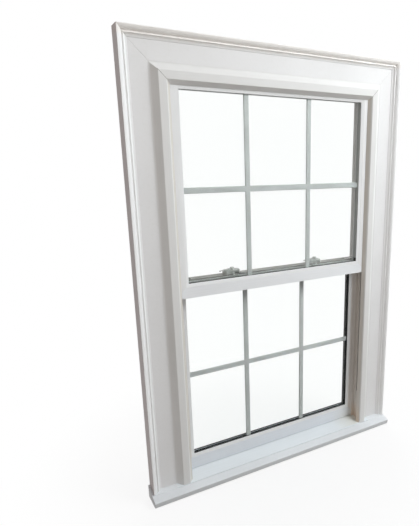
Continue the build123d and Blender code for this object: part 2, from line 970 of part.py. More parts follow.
def make_lock_lever(side):
    """Lever, pivot pin and cam riveted together; the cam's finger hooks behind the keeper's wall."""
    x, y = lock_pivot(side)
    top = lower_top + lock_height + pivot_clearance
    tip_top = top + lever_tip_height - lever_tip_drop
    profile = Polygon(
        (0, top),
        (0, top + lever_root_height),
        (-lever_length, tip_top),
        (-lever_length, top - lever_tip_drop),
        (-lever_flat_reach, top),
        align=None,
    )
    half, half_tip = lever_width / 2, lever_tip_width / 2
    plan = Polygon((0, -half), (0, half), (-lever_length, half_tip), (-lever_length, -half_tip), align=None)
    lever = slab_local(profile, lever_width) & upright(plan, lower_top, top + hub_height)
    lever += Pos(0, 0, top + hub_height / 2) * Cylinder(hub_radius, hub_height)
    cam_low = lower_top + cam_lift
    pin_height = top - cam_low
    lever += Pos(0, 0, cam_low + pin_height / 2) * Cylinder(pivot_pin_radius, pin_height)
    trail = cam_finger_trail
    cam = Circle(cam_hub_radius) + sector(cam_reach - cam_finger, cam_reach, -cam_finger_lead, trail)
    cam += sector(pivot_pin_radius, cam_reach, trail - cam_neck_angle, trail)
    lever += upright(Rot(0, 0, 180) * cam, cam_low, cam_low + cam_thickness)
    return single(Pos(x, y, 0) * lever)


def slab_local(profile, width):
    """Gives a side profile its width, centred on the lever's own axis."""
    plane = Plane((0, 0, 0), x_dir=(1, 0, 0), z_dir=(0, -1, 0))
    return extrude(plane * profile, width / 2, both=True)


def make_keeper(side):
    """Keeper: a plate on the upper meeting rail with a curved wall for the cam."""
    x, pivot_y = lock_pivot(side)
    z = upper_bottom + meeting_rail_face
    front = upper_front_y + leg_setback + keeper_inset
    half = keeper_length / 2
    keeper = block(x - half, x + half, front, upper_back_y - keeper_inset, z, z + keeper_plate)
    outer = cam_reach - cam_finger - keeper_gap
    wall = sector(outer - keeper_wall, outer, -keeper_angle, keeper_angle)
    keeper += Pos(x, pivot_y, 0) * upright(wall, z, z + keeper_height)
    for hole in screw_holes(keeper_screw_places()):
        keeper -= Pos(0, 0, screw_length / 2) * hole
    return single(keeper)


def make_screw(x, y, seat, neck):
    """Screw: a flat head on a shank that reaches into the rail."""
    head = Pos(x, y, neck + screw_head_height / 2) * Cylinder(screw_head_radius, screw_head_height)
    bottom = seat - screw_length + overrun
    shank = Pos(x, y, (neck + bottom) / 2) * Cylinder(screw_shank_radius, neck - bottom)
    return single(head + shank)


def make_lock_screws():
    """Screws of both locks."""
    neck = lower_top + lock_height - screw_head_height
    return Compound(children=[make_screw(x, y, z, neck) for x, y, z in lock_screw_places()])


def make_keeper_screws():
    """Screws of both keepers."""
    return Compound(children=[make_screw(x, y, z, z + keeper_plate) for x, y, z in keeper_screw_places()])


def build():
    """Every node of the window, by name."""
    nodes = {
        "frame_head": make_head(),
        "frame_sill": make_sill(),
        "casing_head": make_casing_head(),
        "sill_nose": make_sill_nose(),
        "lower_bottom_seal": make_bottom_seal(),
        "lock_screws": make_lock_screws(),
        "keeper_screws": make_keeper_screws(),
    }
    for name, side in SIDES.items():
        nodes[f"frame_jamb_{name}"] = make_jamb(side)
        nodes[f"casing_{name}"] = make_casing_side(side)
        nodes[f"slot_cover_{name}"] = make_slot_cover(side)
        nodes[f"lock_base_{name}"] = make_lock_base(side)
        nodes[f"lock_lever_{name}"] = make_lock_lever(side)
        nodes[f"keeper_{name}"] = make_keeper(side)
    for sash in (UPPER, LOWER):
        prefix = sash["name"]
        nodes.update(make_sash_members(sash))
        nodes.update(make_glass(sash))
        nodes[f"{prefix}_grille"] = make_grille(sash)
        nodes[f"{prefix}_glazing_bead"] = make_beads(sash)
        nodes[f"{prefix}_pile"] = make_pile(sash)
        for name, side in SIDES.items():
            nodes[f"{prefix}_pivot_bar_{name}"] = single(bar_block(sash, side))
            nodes[f"{prefix}_shoe_{name}"] = make_shoe(sash, side)
            nodes[f"{prefix}_latch_{name}"] = make_latch(sash, side)
            nodes[f"balance_coil_{prefix}_{name}"] = make_coil(sash, side)
            nodes[f"balance_strip_{prefix}_{name}"] = make_strip(sash, side)
    return nodes


if __name__ == "__main__":
    os.makedirs("parts", exist_ok=True)
    for node, shape in build().items():
        export_step(shape, f"parts/{node}.step")
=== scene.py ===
# %% [markdown]
# # A white vinyl sash window
# The window was drawn as solids first: hollow vinyl extrusions for the frame and the two sliding
# sashes, a moulded casing, sealed glass with flat bars inside it, and two cam locks. This lesson
# dresses those solids. It gives the extrusions the small rounded edges that a die leaves, makes
# the screws, the pile and the wound springs from node trees, paints every surface, and sets the
# light and the camera as in the photograph.

# %% Load the solids and keep their box
import json
from functools import reduce
from math import pi, radians

import bmesh
import bpy
from mathutils import Matrix, Vector


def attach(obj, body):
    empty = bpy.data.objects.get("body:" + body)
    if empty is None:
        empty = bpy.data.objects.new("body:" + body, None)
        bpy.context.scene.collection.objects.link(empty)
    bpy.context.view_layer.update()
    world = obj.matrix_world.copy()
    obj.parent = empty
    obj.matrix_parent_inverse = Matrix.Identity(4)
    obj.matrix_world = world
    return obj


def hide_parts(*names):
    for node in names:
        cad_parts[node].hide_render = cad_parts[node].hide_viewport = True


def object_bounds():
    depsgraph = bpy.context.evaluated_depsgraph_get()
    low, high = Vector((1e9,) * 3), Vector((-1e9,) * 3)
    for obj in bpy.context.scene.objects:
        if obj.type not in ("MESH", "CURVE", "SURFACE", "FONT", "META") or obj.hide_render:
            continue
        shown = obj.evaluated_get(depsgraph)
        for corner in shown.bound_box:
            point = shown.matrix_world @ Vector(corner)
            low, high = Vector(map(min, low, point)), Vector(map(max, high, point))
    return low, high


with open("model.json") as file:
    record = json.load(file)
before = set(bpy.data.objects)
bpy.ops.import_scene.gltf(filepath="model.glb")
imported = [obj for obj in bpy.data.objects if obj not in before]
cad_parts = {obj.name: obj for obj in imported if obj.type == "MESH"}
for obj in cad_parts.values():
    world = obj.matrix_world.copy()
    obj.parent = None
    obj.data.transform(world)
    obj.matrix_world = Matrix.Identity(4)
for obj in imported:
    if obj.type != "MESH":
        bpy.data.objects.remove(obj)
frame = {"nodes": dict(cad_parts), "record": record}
cad_low, cad_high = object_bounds()
body_of = {n: b for b, nodes in frame["record"]["behaviour"]["bodies"].items() for n in nodes}
print("solids:", len(frame["nodes"]), "box:", [round(v, 4) for v in (*cad_low, *cad_high)])

# %% [markdown]
# ## Measuring the solids
# What is added later has to sit on the solids, so its places are read from them instead of being
# typed again. The solids stand at the origin with their places in their meshes, so the corners of
# a mesh are already in metres.

# %% Places read from the solids


def box_of(node):
    """Lowest and highest corner of a solid."""
    points = [v.co for v in frame["nodes"][node].data.vertices]
    low = Vector([min(values) for values in zip(*points)])
    high = Vector([max(values) for values in zip(*points)])
    return low, high


stile_low, stile_high = box_of("lower_stile_right")
sight_half, sash_half = stile_low.x, stile_high.x
lower_front, lower_back = stile_low.y, stile_high.y
rail_low, rail_high = box_of("lower_bottom_rail")
rail_foot, sight_low = rail_low.z, rail_high.z
sight_high = box_of("lower_meeting_rail")[0].z
meeting_low, meeting_high = box_of("upper_meeting_rail")
upper_sight, upper_middle = meeting_high.z, (meeting_low.y + meeting_high.y) / 2
casing_half, casing_top = box_of("casing_right")[1].x, box_of("casing_head")[1].z
lip_front = box_of("frame_jamb_left")[0].y
print("sash half width:", round(sash_half, 4))
print("lower glass from", round(sight_low, 4), "to", round(sight_high, 4))

# %% [markdown]
# ## The camera
# The straight edges of a window give the camera away: all its level edges meet in one vanishing
# point, the edges running into the room in another. A camera could be set by eye, but fitting it
# to those edges gives its place, its direction and the lens at once. The window stands to the
# right of the middle of the photograph, so the lens is shifted a little instead of turning the
# camera, which would bend the uprights the wrong way.

# %% Camera
PHOTO_WIDE, PHOTO_HIGH = 419, 526
FOCAL_PIXELS = 479.9
CENTRE_PIXELS = (286.0, 284.2)
CAMERA_PLACE = Vector((-0.8471, -1.4582, 1.12065))
CAMERA_TURN = Vector((0.24553396, -0.54380391, -0.07075443))
SENSOR_MM = 36.0
# right, down and forward of a camera that looks along Y
STRAIGHT_LOOK = Matrix(((1, 0, 0), (0, 0, -1), (0, 1, 0)))


def window_camera():
    """A camera that sees the window as the photograph does."""
    data = bpy.data.cameras.new("window_camera")
    data.sensor_width = SENSOR_MM
    data.lens = FOCAL_PIXELS / PHOTO_HIGH * SENSOR_MM
    data.shift_x = -(CENTRE_PIXELS[0] - PHOTO_WIDE / 2) / PHOTO_HIGH
    data.shift_y = (CENTRE_PIXELS[1] - PHOTO_HIGH / 2) / PHOTO_HIGH
    turn = Matrix.Rotation(CAMERA_TURN.length, 3, CAMERA_TURN.normalized())
    right, down, forward = turn @ STRAIGHT_LOOK
    place = Matrix((right, -down, -forward)).transposed().to_4x4()
    place.translation = CAMERA_PLACE
    camera = bpy.data.objects.new("window_camera", data)
    camera.matrix_world = place
    bpy.context.scene.collection.objects.link(camera)
    return camera


bpy.context.scene.camera = window_camera()
print("lens:", round(bpy.context.scene.camera.data.lens, 2), "mm")

# %% [markdown]
# ## Helpers for materials
# Every finish here is a Principled shader with a few textures in front of it. Small helpers keep
# the trees readable. The first ones start a material, join or set sockets, and mix two shaders,
# which the glass and the floor need.

# %% Starting a material


def new_material(name, **plain):
    """A material with one Principled shader; plain values go straight on its sockets."""
    mat = bpy.data.materials.new(name)
    mat.use_nodes = True
    shader = mat.node_tree.nodes["Principled BSDF"]
    for socket, value in plain.items():
        shader.inputs[socket.replace("_", " ")].default_value = value
    return mat, mat.node_tree, shader


def link(tree, out, into):
    """Joins two sockets."""
    tree.links.new(out, into)


def fill(tree, socket, value):
    """Sets a socket, or joins it to one or several outputs."""
    if isinstance(value, bpy.types.NodeSocket):
        link(tree, value, socket)
    elif isinstance(value, list):
        for part in reversed(value):
            link(tree, part, socket)
    else:
        socket.default_value = value


def mixed_surface(tree, share, first, second):
    """Shows two shaders on one surface; the share is that of the second."""
    mix = tree.nodes.new("ShaderNodeMixShader")
    for socket, out in zip(mix.inputs, (share, first, second)):
        link(tree, out, socket)
    link(tree, mix.outputs["Shader"], tree.nodes["Material Output"].inputs["Surface"])


print("material helpers: 4, for shaders and sockets")

# %% [markdown]
# ## Helpers for textures
# A noise makes a finish uneven, and a band turns it into colours between two others. The noise
# reads Object coordinates. They are the right choice for building parts, because they are in
# metres and don't stretch when a piece is long and thin. The same noise can spread the roughness
# between two numbers, or give a small relief.

# %% Noise and colours
CLEAN = (1.0, 1.0, 1.0)
MIDDLE_BAND = (0.3, 0.7)
# sockets of a Mix node that mixes colours
MIX_SHARE, MIX_UNDER, MIX_OVER, MIX_COLOUR = 0, 6, 7, 2


def noise(tree, scale, stretch=(1, 1, 1), detail=3.0):
    """A noise in metres; stretch squeezes it along X, Y and Z."""
    where = tree.nodes.new("ShaderNodeTexCoord")
    mapping = tree.nodes.new("ShaderNodeMapping")
    mapping.inputs["Scale"].default_value = stretch
    texture = tree.nodes.new("ShaderNodeTexNoise")
    texture.inputs["Scale"].default_value = scale
    texture.inputs["Detail"].default_value = detail
    link(tree, where.outputs["Object"], mapping.inputs["Vector"])
    link(tree, mapping.outputs["Vector"], texture.inputs["Vector"])
    return texture.outputs["Fac"]


def band(tree, value, low, high, ends=MIDDLE_BAND):
    """Colours from low to high as the value goes from one end to the other."""
    ramp = tree.nodes.new("ShaderNodeValToRGB")
    for element, end, colour in zip(ramp.color_ramp.elements, ends, (low, high)):
        element.position = end
        element.color = (*colour, 1)
    link(tree, value, ramp.inputs["Fac"])
    return ramp.outputs["Color"]


def uneven(tree, colour, share, grain, ends=MIDDLE_BAND):
    """A colour that sinks to a share of itself where the grain is low."""
    return band(tree, grain, [part * share for part in colour], colour, ends)


def blend(tree, kind, share, under, over):
    """One colour laid over another; the share and the colours are plain values or sockets."""
    mix = tree.nodes.new("ShaderNodeMix")
    mix.data_type = "RGBA"
    mix.blend_type = kind
    for place, value in ((MIX_SHARE, share), (MIX_UNDER, under), (MIX_OVER, over)):
        fill(tree, mix.inputs[place], (*value, 1) if isinstance(value, tuple) else value)
    return mix.outputs[MIX_COLOUR]


print("colour helpers: 4, for noise and colours")

# %% Roughness and relief


def ranged(tree, value, kind="LINEAR", **ends):
    """A value taken from one range to another; an end that isn't given is 0 or 1."""
    node = tree.nodes.new("ShaderNodeMapRange")
    node.interpolation_type = kind
    for socket, end in ends.items():
        node.inputs[socket.replace("_", " ")].default_value = end
    link(tree, value, node.inputs["Value"])
    return node.outputs["Result"]


def spread(tree, value, low, high):
    """A value from 0 to 1 spread between two numbers."""
    return ranged(tree, value, To_Min=low, To_Max=high)


def dress(tree, shader, colour, gloss_scale, roughness):
    """Gives a shader its colour, and a roughness between two numbers by a noise."""
    link(tree, colour, shader.inputs["Base Color"])
    gloss = spread(tree, noise(tree, gloss_scale), *roughness)
    link(tree, gloss, shader.inputs["Roughness"])


def bump(tree, shader, height, strength, distance):
    """Small relief from a height."""
    node = tree.nodes.new("ShaderNodeBump")
    node.inputs["Strength"].default_value = strength
    node.inputs["Distance"].default_value = distance
    link(tree, height, node.inputs["Height"])
    link(tree, node.outputs["Normal"], shader.inputs["Normal"])


print("surface helpers: 4, for roughness and relief")

# %% [markdown]
# ## Helpers for places
# Dirt isn't everywhere: it lies in a corner, on a ledge or behind a lip. An image could be painted
# for it, but a window has simple places, so they are worked out from the X, Y and Z of the point
# that is shaded. A mark is a function that gives 1 where the dirt lies and 0 elsewhere, and its
# colour is multiplied onto the finish there.

# %% Arithmetic by place


def maths(tree, operation, *values):
    """Arithmetic on numbers and sockets."""
    node = tree.nodes.new("ShaderNodeMath")
    node.operation = operation
    for socket, value in zip(node.inputs, values):
        fill(tree, socket, value)
    return node.outputs["Value"]


def product(tree, *shares):
    """Several shares multiplied."""
    return reduce(lambda share, other: maths(tree, "MULTIPLY", share, other), shares)


def grade(tree, value, start, end):
    """0 up to start, 1 from end on, and a slope between."""
    return ranged(tree, value, From_Min=start, From_Max=end)


def within(tree, value, half):
    """1 where a value lies between -half and half, else 0."""
    return maths(tree, "LESS_THAN", maths(tree, "ABSOLUTE", value), half)


def place_parts(tree):
    """X, Y and Z of the point being shaded, in metres."""
    where = tree.nodes.new("ShaderNodeTexCoord")
    parts = tree.nodes.new("ShaderNodeSeparateXYZ")
    link(tree, where.outputs["Object"], parts.inputs["Vector"])
    return [parts.outputs[axis] for axis in "XYZ"]


def paint_marks(tree, colour, marks):
    """A colour with marks on it; a mark is a function for its place, and a colour."""
    for mark, mark_colour in marks:
        colour = blend(tree, "MULTIPLY", mark(tree), colour, mark_colour)
    return colour


print("place helpers: 6, for arithmetic and marks")

# %% [markdown]
# ## Dark lines on the frame and the sashes
# At the mitred top corners the frame's lip has opened by a hair and the gap has filled with dirt;
# it lies along the corner's 45 degree line. The lower sash has a soft black tip along the leg
# behind the glass, which is why its glass has a wider dark edge than the upper one. Where the two
# meeting rails pass each other, their tops, seen through the upper glass, carry painted shade in
# patches.

# %% Seams, tips and painted shade
SEAM_HALF, SEAM_DEPTH = 0.0007, 0.0022
TIP_REACH = 0.0002
PATCH_SCALE, PATCH_STRETCH, PATCH_SHARES = 60.0, (0.25, 1.0, 1.0), (0.6, 1.1)


def lip_seam(tree):
    """1 along the mitred corners of the frame's front lip, else 0."""
    x, y, z = place_parts(tree)
    along_x = maths(tree, "SUBTRACT", maths(tree, "ABSOLUTE", x), casing_half)
    along_z = maths(tree, "SUBTRACT", z, casing_top)
    on_line = within(tree, maths(tree, "SUBTRACT", along_x, along_z), SEAM_HALF)
    return product(tree, on_line, maths(tree, "LESS_THAN", y, lip_front + SEAM_DEPTH))


def leg_tip(tree):
    """1 on the edge of the leg behind the lower glass, else 0."""
    x, _, z = place_parts(tree)
    middle, half = (sight_low + sight_high) / 2, (sight_high - sight_low) / 2
    between_sides = within(tree, x, sight_half + TIP_REACH)
    from_middle = maths(tree, "SUBTRACT", z, middle)
    return product(tree, between_sides, within(tree, from_middle, half + TIP_REACH))


# painted shade on the tops of the meeting rails, which lie in shade behind the upper glass
def shaded_rail_top(tree):
    """About 1, patchy, on top of the lower sash and of the leg behind the upper glass, else 0."""
    _, y, z = place_parts(tree)
    above = maths(tree, "GREATER_THAN", z, upper_sight - TIP_REACH)
    behind = maths(tree, "GREATER_THAN", y, upper_middle)
    patches = spread(tree, noise(tree, PATCH_SCALE, PATCH_STRETCH), *PATCH_SHARES)
    return product(tree, above, behind, patches)


seam = (lip_seam, (0.3, 0.29, 0.27))
tip = (leg_tip, (0.018, 0.019, 0.02))
# painted shade in patches on the tops of the upper and the lower meeting rail
upper_rail_shade = (shaded_rail_top, (0.4, 0.39, 0.35))
lower_rail_shade = (shaded_rail_top, (0.27, 0.26, 0.23))
print("dark lines: 4, in seams, on tips and on rails")

# %% [markdown]
# ## Tan and shade in the tracks
# The uprights are a little tan deep in their tracks, and the slope behind the lip is darker and tan
# with painted shade. Brown dirt has washed into the right-hand corner at the foot of the lower
# sash. All of it stays on the outdoor side: it fades out between the two faces of the lower sash.

# %% Tan, painted shade and dirt
TINT_DEPTH, TRACK_ROOM = 0.03, 0.006
REVEAL_STARTS, REVEAL_ENDS = (0.002, 0.005), (0.016, 0.024)
CORNER_WIDE, CORNER_HIGH = 0.08, 0.07


def behind_lip(tree, y, start, end):
    """0 at the frame's front lip, 1 behind it; start and end are depths behind the lip."""
    return grade(tree, y, lip_front + start, lip_front + end)


def outdoors(tree, y):
    """1 up to the outer face of the lower sash, 0 from its inner face on."""
    return grade(tree, y, lower_back, lower_front)


def track_tint(tree):
    """1 deep in the tracks, 0 at the front lip of the frame and on the room side."""
    x, y, _ = place_parts(tree)
    deep = behind_lip(tree, y, 0.0, TINT_DEPTH)
    return product(tree, deep, outdoors(tree, y), within(tree, x, sash_half + TRACK_ROOM))


# painted shade on the slope behind the lip
def slope_shade(tree):
    """1 on the slope between the front lip and the upper sash, else 0."""
    x, y, _ = place_parts(tree)
    starts, ends = behind_lip(tree, y, *REVEAL_STARTS), behind_lip(tree, y, *REVEAL_ENDS)
    return product(tree, maths(tree, "SUBTRACT", starts, ends), within(tree, x, sash_half))


def corner_dirt(tree):
    """1 in the right-hand corner at the foot of the lower sash, fading to 0 around it."""
    x, y, z = place_parts(tree)
    near_side = grade(tree, x, sight_half - CORNER_WIDE, sash_half)
    near_foot = grade(tree, z, rail_foot + CORNER_HIGH, rail_foot)
    in_track = maths(tree, "LESS_THAN", x, sash_half + TRACK_ROOM)
    deep = behind_lip(tree, y, *REVEAL_STARTS)
    return product(tree, near_side, near_foot, in_track, deep, outdoors(tree, y))


# a slight tan deep in the tracks, painted shade on the slope, and brown dirt in the corner
tan = (track_tint, (0.99, 0.945, 0.9))
painted_slope_shade = (slope_shade, (0.84, 0.81, 0.77))
jamb_dirt = (corner_dirt, (1.0, 0.87, 0.76))
sill_dirt = (corner_dirt, (0.98, 0.94, 0.85))
print("dust and dirt: 4, in tracks, on slopes and in a corner")

# %% [markdown]
# ## White vinyl
# The frame and the sashes are extruded: hot vinyl is pushed through a die and cooled in water.
# That leaves a satin skin with very faint lines along the length, slightly uneven gloss, and,
# after some years outdoors, a little dust. A flat white would look like paper, so three noises
# share the work: a large soft one for the dust, a long thin one for the die lines, and a fine one
# for the skin. Uprights and level pieces need the lines turned, so the function takes the
# direction of the run.

# %% Vinyl for extrusions
RUN_UPRIGHT, RUN_LEVEL = (1.0, 1.0, 0.012), (0.012, 1.0, 1.0)
VINYL_SHEEN, DULL_SHEEN = 0.34, 0.06
VINYL_ROUGHNESS = (0.3, 0.46)
DUST_SCALE, DUST_DETAIL, DUST_SHARE, DUST_BAND = 4.0, 4.0, 0.955, (0.25, 0.6)
LINE_SCALE, LINE_DETAIL, LINE_GREY, LINE_BAND = 420.0, 2.0, (0.975, 0.975, 0.97), (0.35, 0.65)
LINE_STRENGTH, LINE_DEPTH = 0.12, 0.0002
SKIN_SCALE = 35.0


def extruded_vinyl(name, white, run, *marks, sheen=VINYL_SHEEN):
    """Satin white vinyl with faint die lines along the run, and marks painted on by place."""
    mat, tree, shader = new_material(name, Specular_IOR_Level=sheen)
    clouds = noise(tree, DUST_SCALE, detail=DUST_DETAIL)
    dust = uneven(tree, white, DUST_SHARE, clouds, DUST_BAND)
    lines = noise(tree, LINE_SCALE, run, LINE_DETAIL)
    streak = band(tree, lines, LINE_GREY, CLEAN, LINE_BAND)
    colour = paint_marks(tree, blend(tree, "MULTIPLY", 1.0, dust, streak), marks)
    dress(tree, shader, colour, SKIN_SCALE, VINYL_ROUGHNESS)
    bump(tree, shader, lines, LINE_STRENGTH, LINE_DEPTH)
    return mat


print("vinyl roughness from", VINYL_ROUGHNESS[0], "to", VINYL_ROUGHNESS[1])

# %% The vinyl of each piece
# painted light: the sash pieces are one vinyl, but the meeting rail is painted lighter and bluer,
# and the bottom rail and the sill are painted bluish as if lit by the sky
FRAME_WHITE = (0.83, 0.825, 0.815)
SASH_WHITE = (0.9, 0.905, 0.91)
MEETING_LIT_WHITE = (0.93, 0.945, 0.965)
BOTTOM_SKYLIT_WHITE = (0.85, 0.89, 0.94)
SILL_SKYLIT_WHITE = (0.82, 0.86, 0.89)

frame_upright = extruded_vinyl(
    "frame_vinyl_upright", FRAME_WHITE, RUN_UPRIGHT, seam, tan, painted_slope_shade, jamb_dirt
)
frame_level = extruded_vinyl("frame_vinyl_level", FRAME_WHITE, RUN_LEVEL, seam)
sash_upright = extruded_vinyl("sash_vinyl_upright", SASH_WHITE, RUN_UPRIGHT)
sash_level = extruded_vinyl("sash_vinyl_level", SASH_WHITE, RUN_LEVEL)
meeting_level = extruded_vinyl("meeting_vinyl_level", MEETING_LIT_WHITE, RUN_LEVEL, upper_rail_shade)
tipped_upright = extruded_vinyl("tipped_vinyl_upright", SASH_WHITE, RUN_UPRIGHT, tip, tan)
tipped_level = extruded_vinyl(
    "tipped_vinyl_level", SASH_WHITE, RUN_LEVEL, tip, lower_rail_shade, sheen=DULL_SHEEN
)
bottom_level = extruded_vinyl("bottom_vinyl_level", BOTTOM_SKYLIT_WHITE, RUN_LEVEL, tip, sill_dirt)
sill_level = extruded_vinyl("sill_vinyl_level", SILL_SKYLIT_WHITE, RUN_LEVEL, sill_dirt)
print("vinyls:", [m.name for m in bpy.data.materials if "vinyl" in m.name])

# %% [markdown]
# ## Marks on the casing
# The broad flats of the casing are painted a little darker than the moulding around them, so the
# moulding shows as a painted highlight. The top edge, which the sun reaches most, has gone a
# little cream, and the outer sides are darker and brownish with painted shade.

# %% Painted highlight on the moulding, cream top and painted shade on the sides
CREAM_STARTS, CREAM_ENDS = 0.03, 0.018
MOULDING_WIDE, MOULDING_FADE = 0.024, 0.003
SIDE_REACH = 0.0004


def darker_flats(tree):
    """1 on the broad flats of the casing, 0 on the moulding around them."""
    x, _, z = place_parts(tree)
    aside = maths(tree, "ABSOLUTE", x)
    off_side = maths(tree, "SUBTRACT", casing_half - MOULDING_WIDE, aside)
    off_top = maths(tree, "SUBTRACT", casing_top - MOULDING_WIDE, z)
    return grade(tree, maths(tree, "MINIMUM", off_side, off_top), 0.0, MOULDING_FADE)


def top_edge(tree):
    """0 on the flats of the casing, 1 on the moulding along its top."""
    height = place_parts(tree)[2]
    return grade(tree, height, casing_top - CREAM_STARTS, casing_top - CREAM_ENDS)


def shaded_outer_side(tree):
    """1 on the outer sides of the casing, else 0."""
    aside = maths(tree, "ABSOLUTE", place_parts(tree)[0])
    return maths(tree, "GREATER_THAN", aside, casing_half - SIDE_REACH)


# a painted highlight on the moulding by darker flats, the top's cream, and painted shade on the
# outer sides
casing_marks = (
    (darker_flats, (0.905, 0.9, 0.9)),
    (top_edge, (1.0, 0.97, 0.94)),
    (shaded_outer_side, (0.62, 0.56, 0.56)),
)
print("marks on the casing:", len(casing_marks))

# %% [markdown]
# ## Painted casing
# The casing and the sill nose are planed from foamed vinyl board and painted. Paint from a roller
# dries with a low, rounded texture and is a little rougher than the bare extrusions. A fine noise
# makes that relief, a middle-sized one varies the gloss, and a large one varies the white by a few
# percent.

# %% Paint for the casing and the sill nose
PAINT_SHEEN = 0.25
PAINT_ROUGHNESS = (0.38, 0.52)
CLOUD_SCALE, CLOUD_DETAIL, CLOUD_SHARE, CLOUD_BAND = 3.2, 5.0, 0.95, (0.28, 0.62)
SPECK_SCALE, SPECK_GREY, SPECK_BAND = 120.0, (0.985, 0.985, 0.98), (0.3, 0.5)
SATIN_SCALE = 28.0
ROLLER_SCALE, ROLLER_DETAIL, ROLLER_STRENGTH, ROLLER_DEPTH = 700.0, 2.0, 0.1, 0.0003


def rolled_paint(name, white, marks=()):
    """White paint with the soft relief of a roller, and marks painted on by place."""
    mat, tree, shader = new_material(name, Specular_IOR_Level=PAINT_SHEEN)
    clouds = noise(tree, CLOUD_SCALE, detail=CLOUD_DETAIL)
    dust = uneven(tree, white, CLOUD_SHARE, clouds, CLOUD_BAND)
    speck = band(tree, noise(tree, SPECK_SCALE), SPECK_GREY, CLEAN, SPECK_BAND)
    colour = paint_marks(tree, blend(tree, "MULTIPLY", 1.0, dust, speck), marks)
    dress(tree, shader, colour, SATIN_SCALE, PAINT_ROUGHNESS)
    relief = noise(tree, ROLLER_SCALE, detail=ROLLER_DETAIL)
    bump(tree, shader, relief, ROLLER_STRENGTH, ROLLER_DEPTH)
    return mat


casing_paint = rolled_paint("casing_paint", (0.96, 0.96, 0.96), casing_marks)
# painted shade and sky light: the nose has the casing's paint, painted darker and bluish
sill_paint = rolled_paint("sill_paint", (0.79, 0.81, 0.83))
print("paints:", casing_paint.name, sill_paint.name)

# %% [markdown]
# ## Glass
# Each sash holds two panes, so light crosses four surfaces. A shader that bends light does this
# truly, but then the lamps can't reach what is behind the pane without long sampling. A common way
# round it is to let lamp rays pass straight through with a Transparent shader, and leave the
# bending and the mirroring to what the camera sees. The Transparent colour is what a coated pane
# lets through, so what lies behind two of them is clearly dimmer. The index is lower than that of
# real glass, so that four surfaces don't grey the white behind them; panes this thin bend light
# too little for it to show.

# %% Clear glass
PANE_TINT = (0.99, 0.998, 0.995)
PANE_PASSES = (0.74, 0.76, 0.75)
PANE_INDEX = 1.2


def clear_glass(name):
    """Coated float glass with a breath of green, open to lamp rays."""
    mat, tree, shader = new_material(
        name, Base_Color=(*PANE_TINT, 1), Roughness=0.0, IOR=PANE_INDEX, Transmission_Weight=1.0
    )
    through = tree.nodes.new("ShaderNodeBsdfTransparent")
    through.inputs["Color"].default_value = (*PANE_PASSES, 1)
    lamp_ray = tree.nodes.new("ShaderNodeLightPath").outputs["Is Shadow Ray"]
    mixed_surface(tree, lamp_ray, shader.outputs["BSDF"], through.outputs["BSDF"])
    return mat


glass = clear_glass("clear_glass")
print("glass:", glass.name)

# %% [markdown]
# ## Enamel and plated steel
# The bars between the panes and the locks are enamelled, so they are smoother than the vinyl and
# have a slight orange peel. The pivot bars, the springs and the screws are zinc plated steel, with
# faint upright lines from drawing.

# %% Enamel and steel
ENAMEL_SCALE, ENAMEL_SHARE, WIPE_SCALE = 9.0, 0.96, 60.0
PEEL_SCALE, PEEL_DETAIL, PEEL_STRENGTH, PEEL_DEPTH = 900.0, 1.0, 0.06, 0.0002
DRAWN_SCALE, DRAWN_STRETCH = 260.0, (1.0, 1.0, 0.05)
ZINC_DARK, ZINC_LIGHT = (0.5, 0.51, 0.53), (0.66, 0.67, 0.69)
ZINC_SCALE, ZINC_ROUGHNESS = 90.0, (0.28, 0.45)


def enamel(name, colour, roughness):
    """Sprayed enamel: even colour, slight orange peel."""
    mat, tree, shader = new_material(name)
    tint = uneven(tree, colour, ENAMEL_SHARE, noise(tree, ENAMEL_SCALE))
    dress(tree, shader, tint, WIPE_SCALE, roughness)
    peel = noise(tree, PEEL_SCALE, detail=PEEL_DETAIL)
    bump(tree, shader, peel, PEEL_STRENGTH, PEEL_DEPTH)
    return mat


def plated_steel(name):
    """Zinc plated steel with drawn lines."""
    mat, tree, shader = new_material(name, Metallic=1.0)
    lines = noise(tree, DRAWN_SCALE, DRAWN_STRETCH)
    tint = band(tree, lines, ZINC_DARK, ZINC_LIGHT)
    dress(tree, shader, tint, ZINC_SCALE, ZINC_ROUGHNESS)
    return mat


grille_enamel = enamel("grille_enamel", (0.5, 0.52, 0.515), (0.27, 0.39))
lock_enamel = enamel("lock_enamel", (0.58, 0.585, 0.565), (0.21, 0.33))
plated = plated_steel("plated_steel")
print("hard finishes:", grille_enamel.name, lock_enamel.name, plated.name)

# %% [markdown]
# ## Spacers, nylon, rubber and pile
# The dull pieces share one recipe with a fine mottling. The spacers are painted strips, black in
# the lower sash, grey in the upper one, and darkened along its foot with painted shade. The shoes
# are moulded nylon, the seal is rubber and the pile is grey fibre.

# %% Dull finishes
FOOT_REACH = 0.012
COARSER = 6
MOTTLE_STRENGTH, MOTTLE_DEPTH = 0.15, 0.0002
MATTE_SHEEN = 0.3


def glass_foot(tree):
    """1 along the foot of the upper glass, else 0."""
    return maths(tree, "LESS_THAN", place_parts(tree)[2], upper_sight + FOOT_REACH)


def soft_matte(name, dark, light, scale, roughness, sheen=MATTE_SHEEN, marks=()):
    """A dull finish with fine mottling, and marks painted on by place."""
    mat, tree, shader = new_material(name, Specular_IOR_Level=sheen)
    grain = noise(tree, scale)
    colour = paint_marks(tree, band(tree, grain, dark, light), marks)
    dress(tree, shader, colour, scale / COARSER, roughness)
    bump(tree, shader, grain, MOTTLE_STRENGTH, MOTTLE_DEPTH)
    return mat


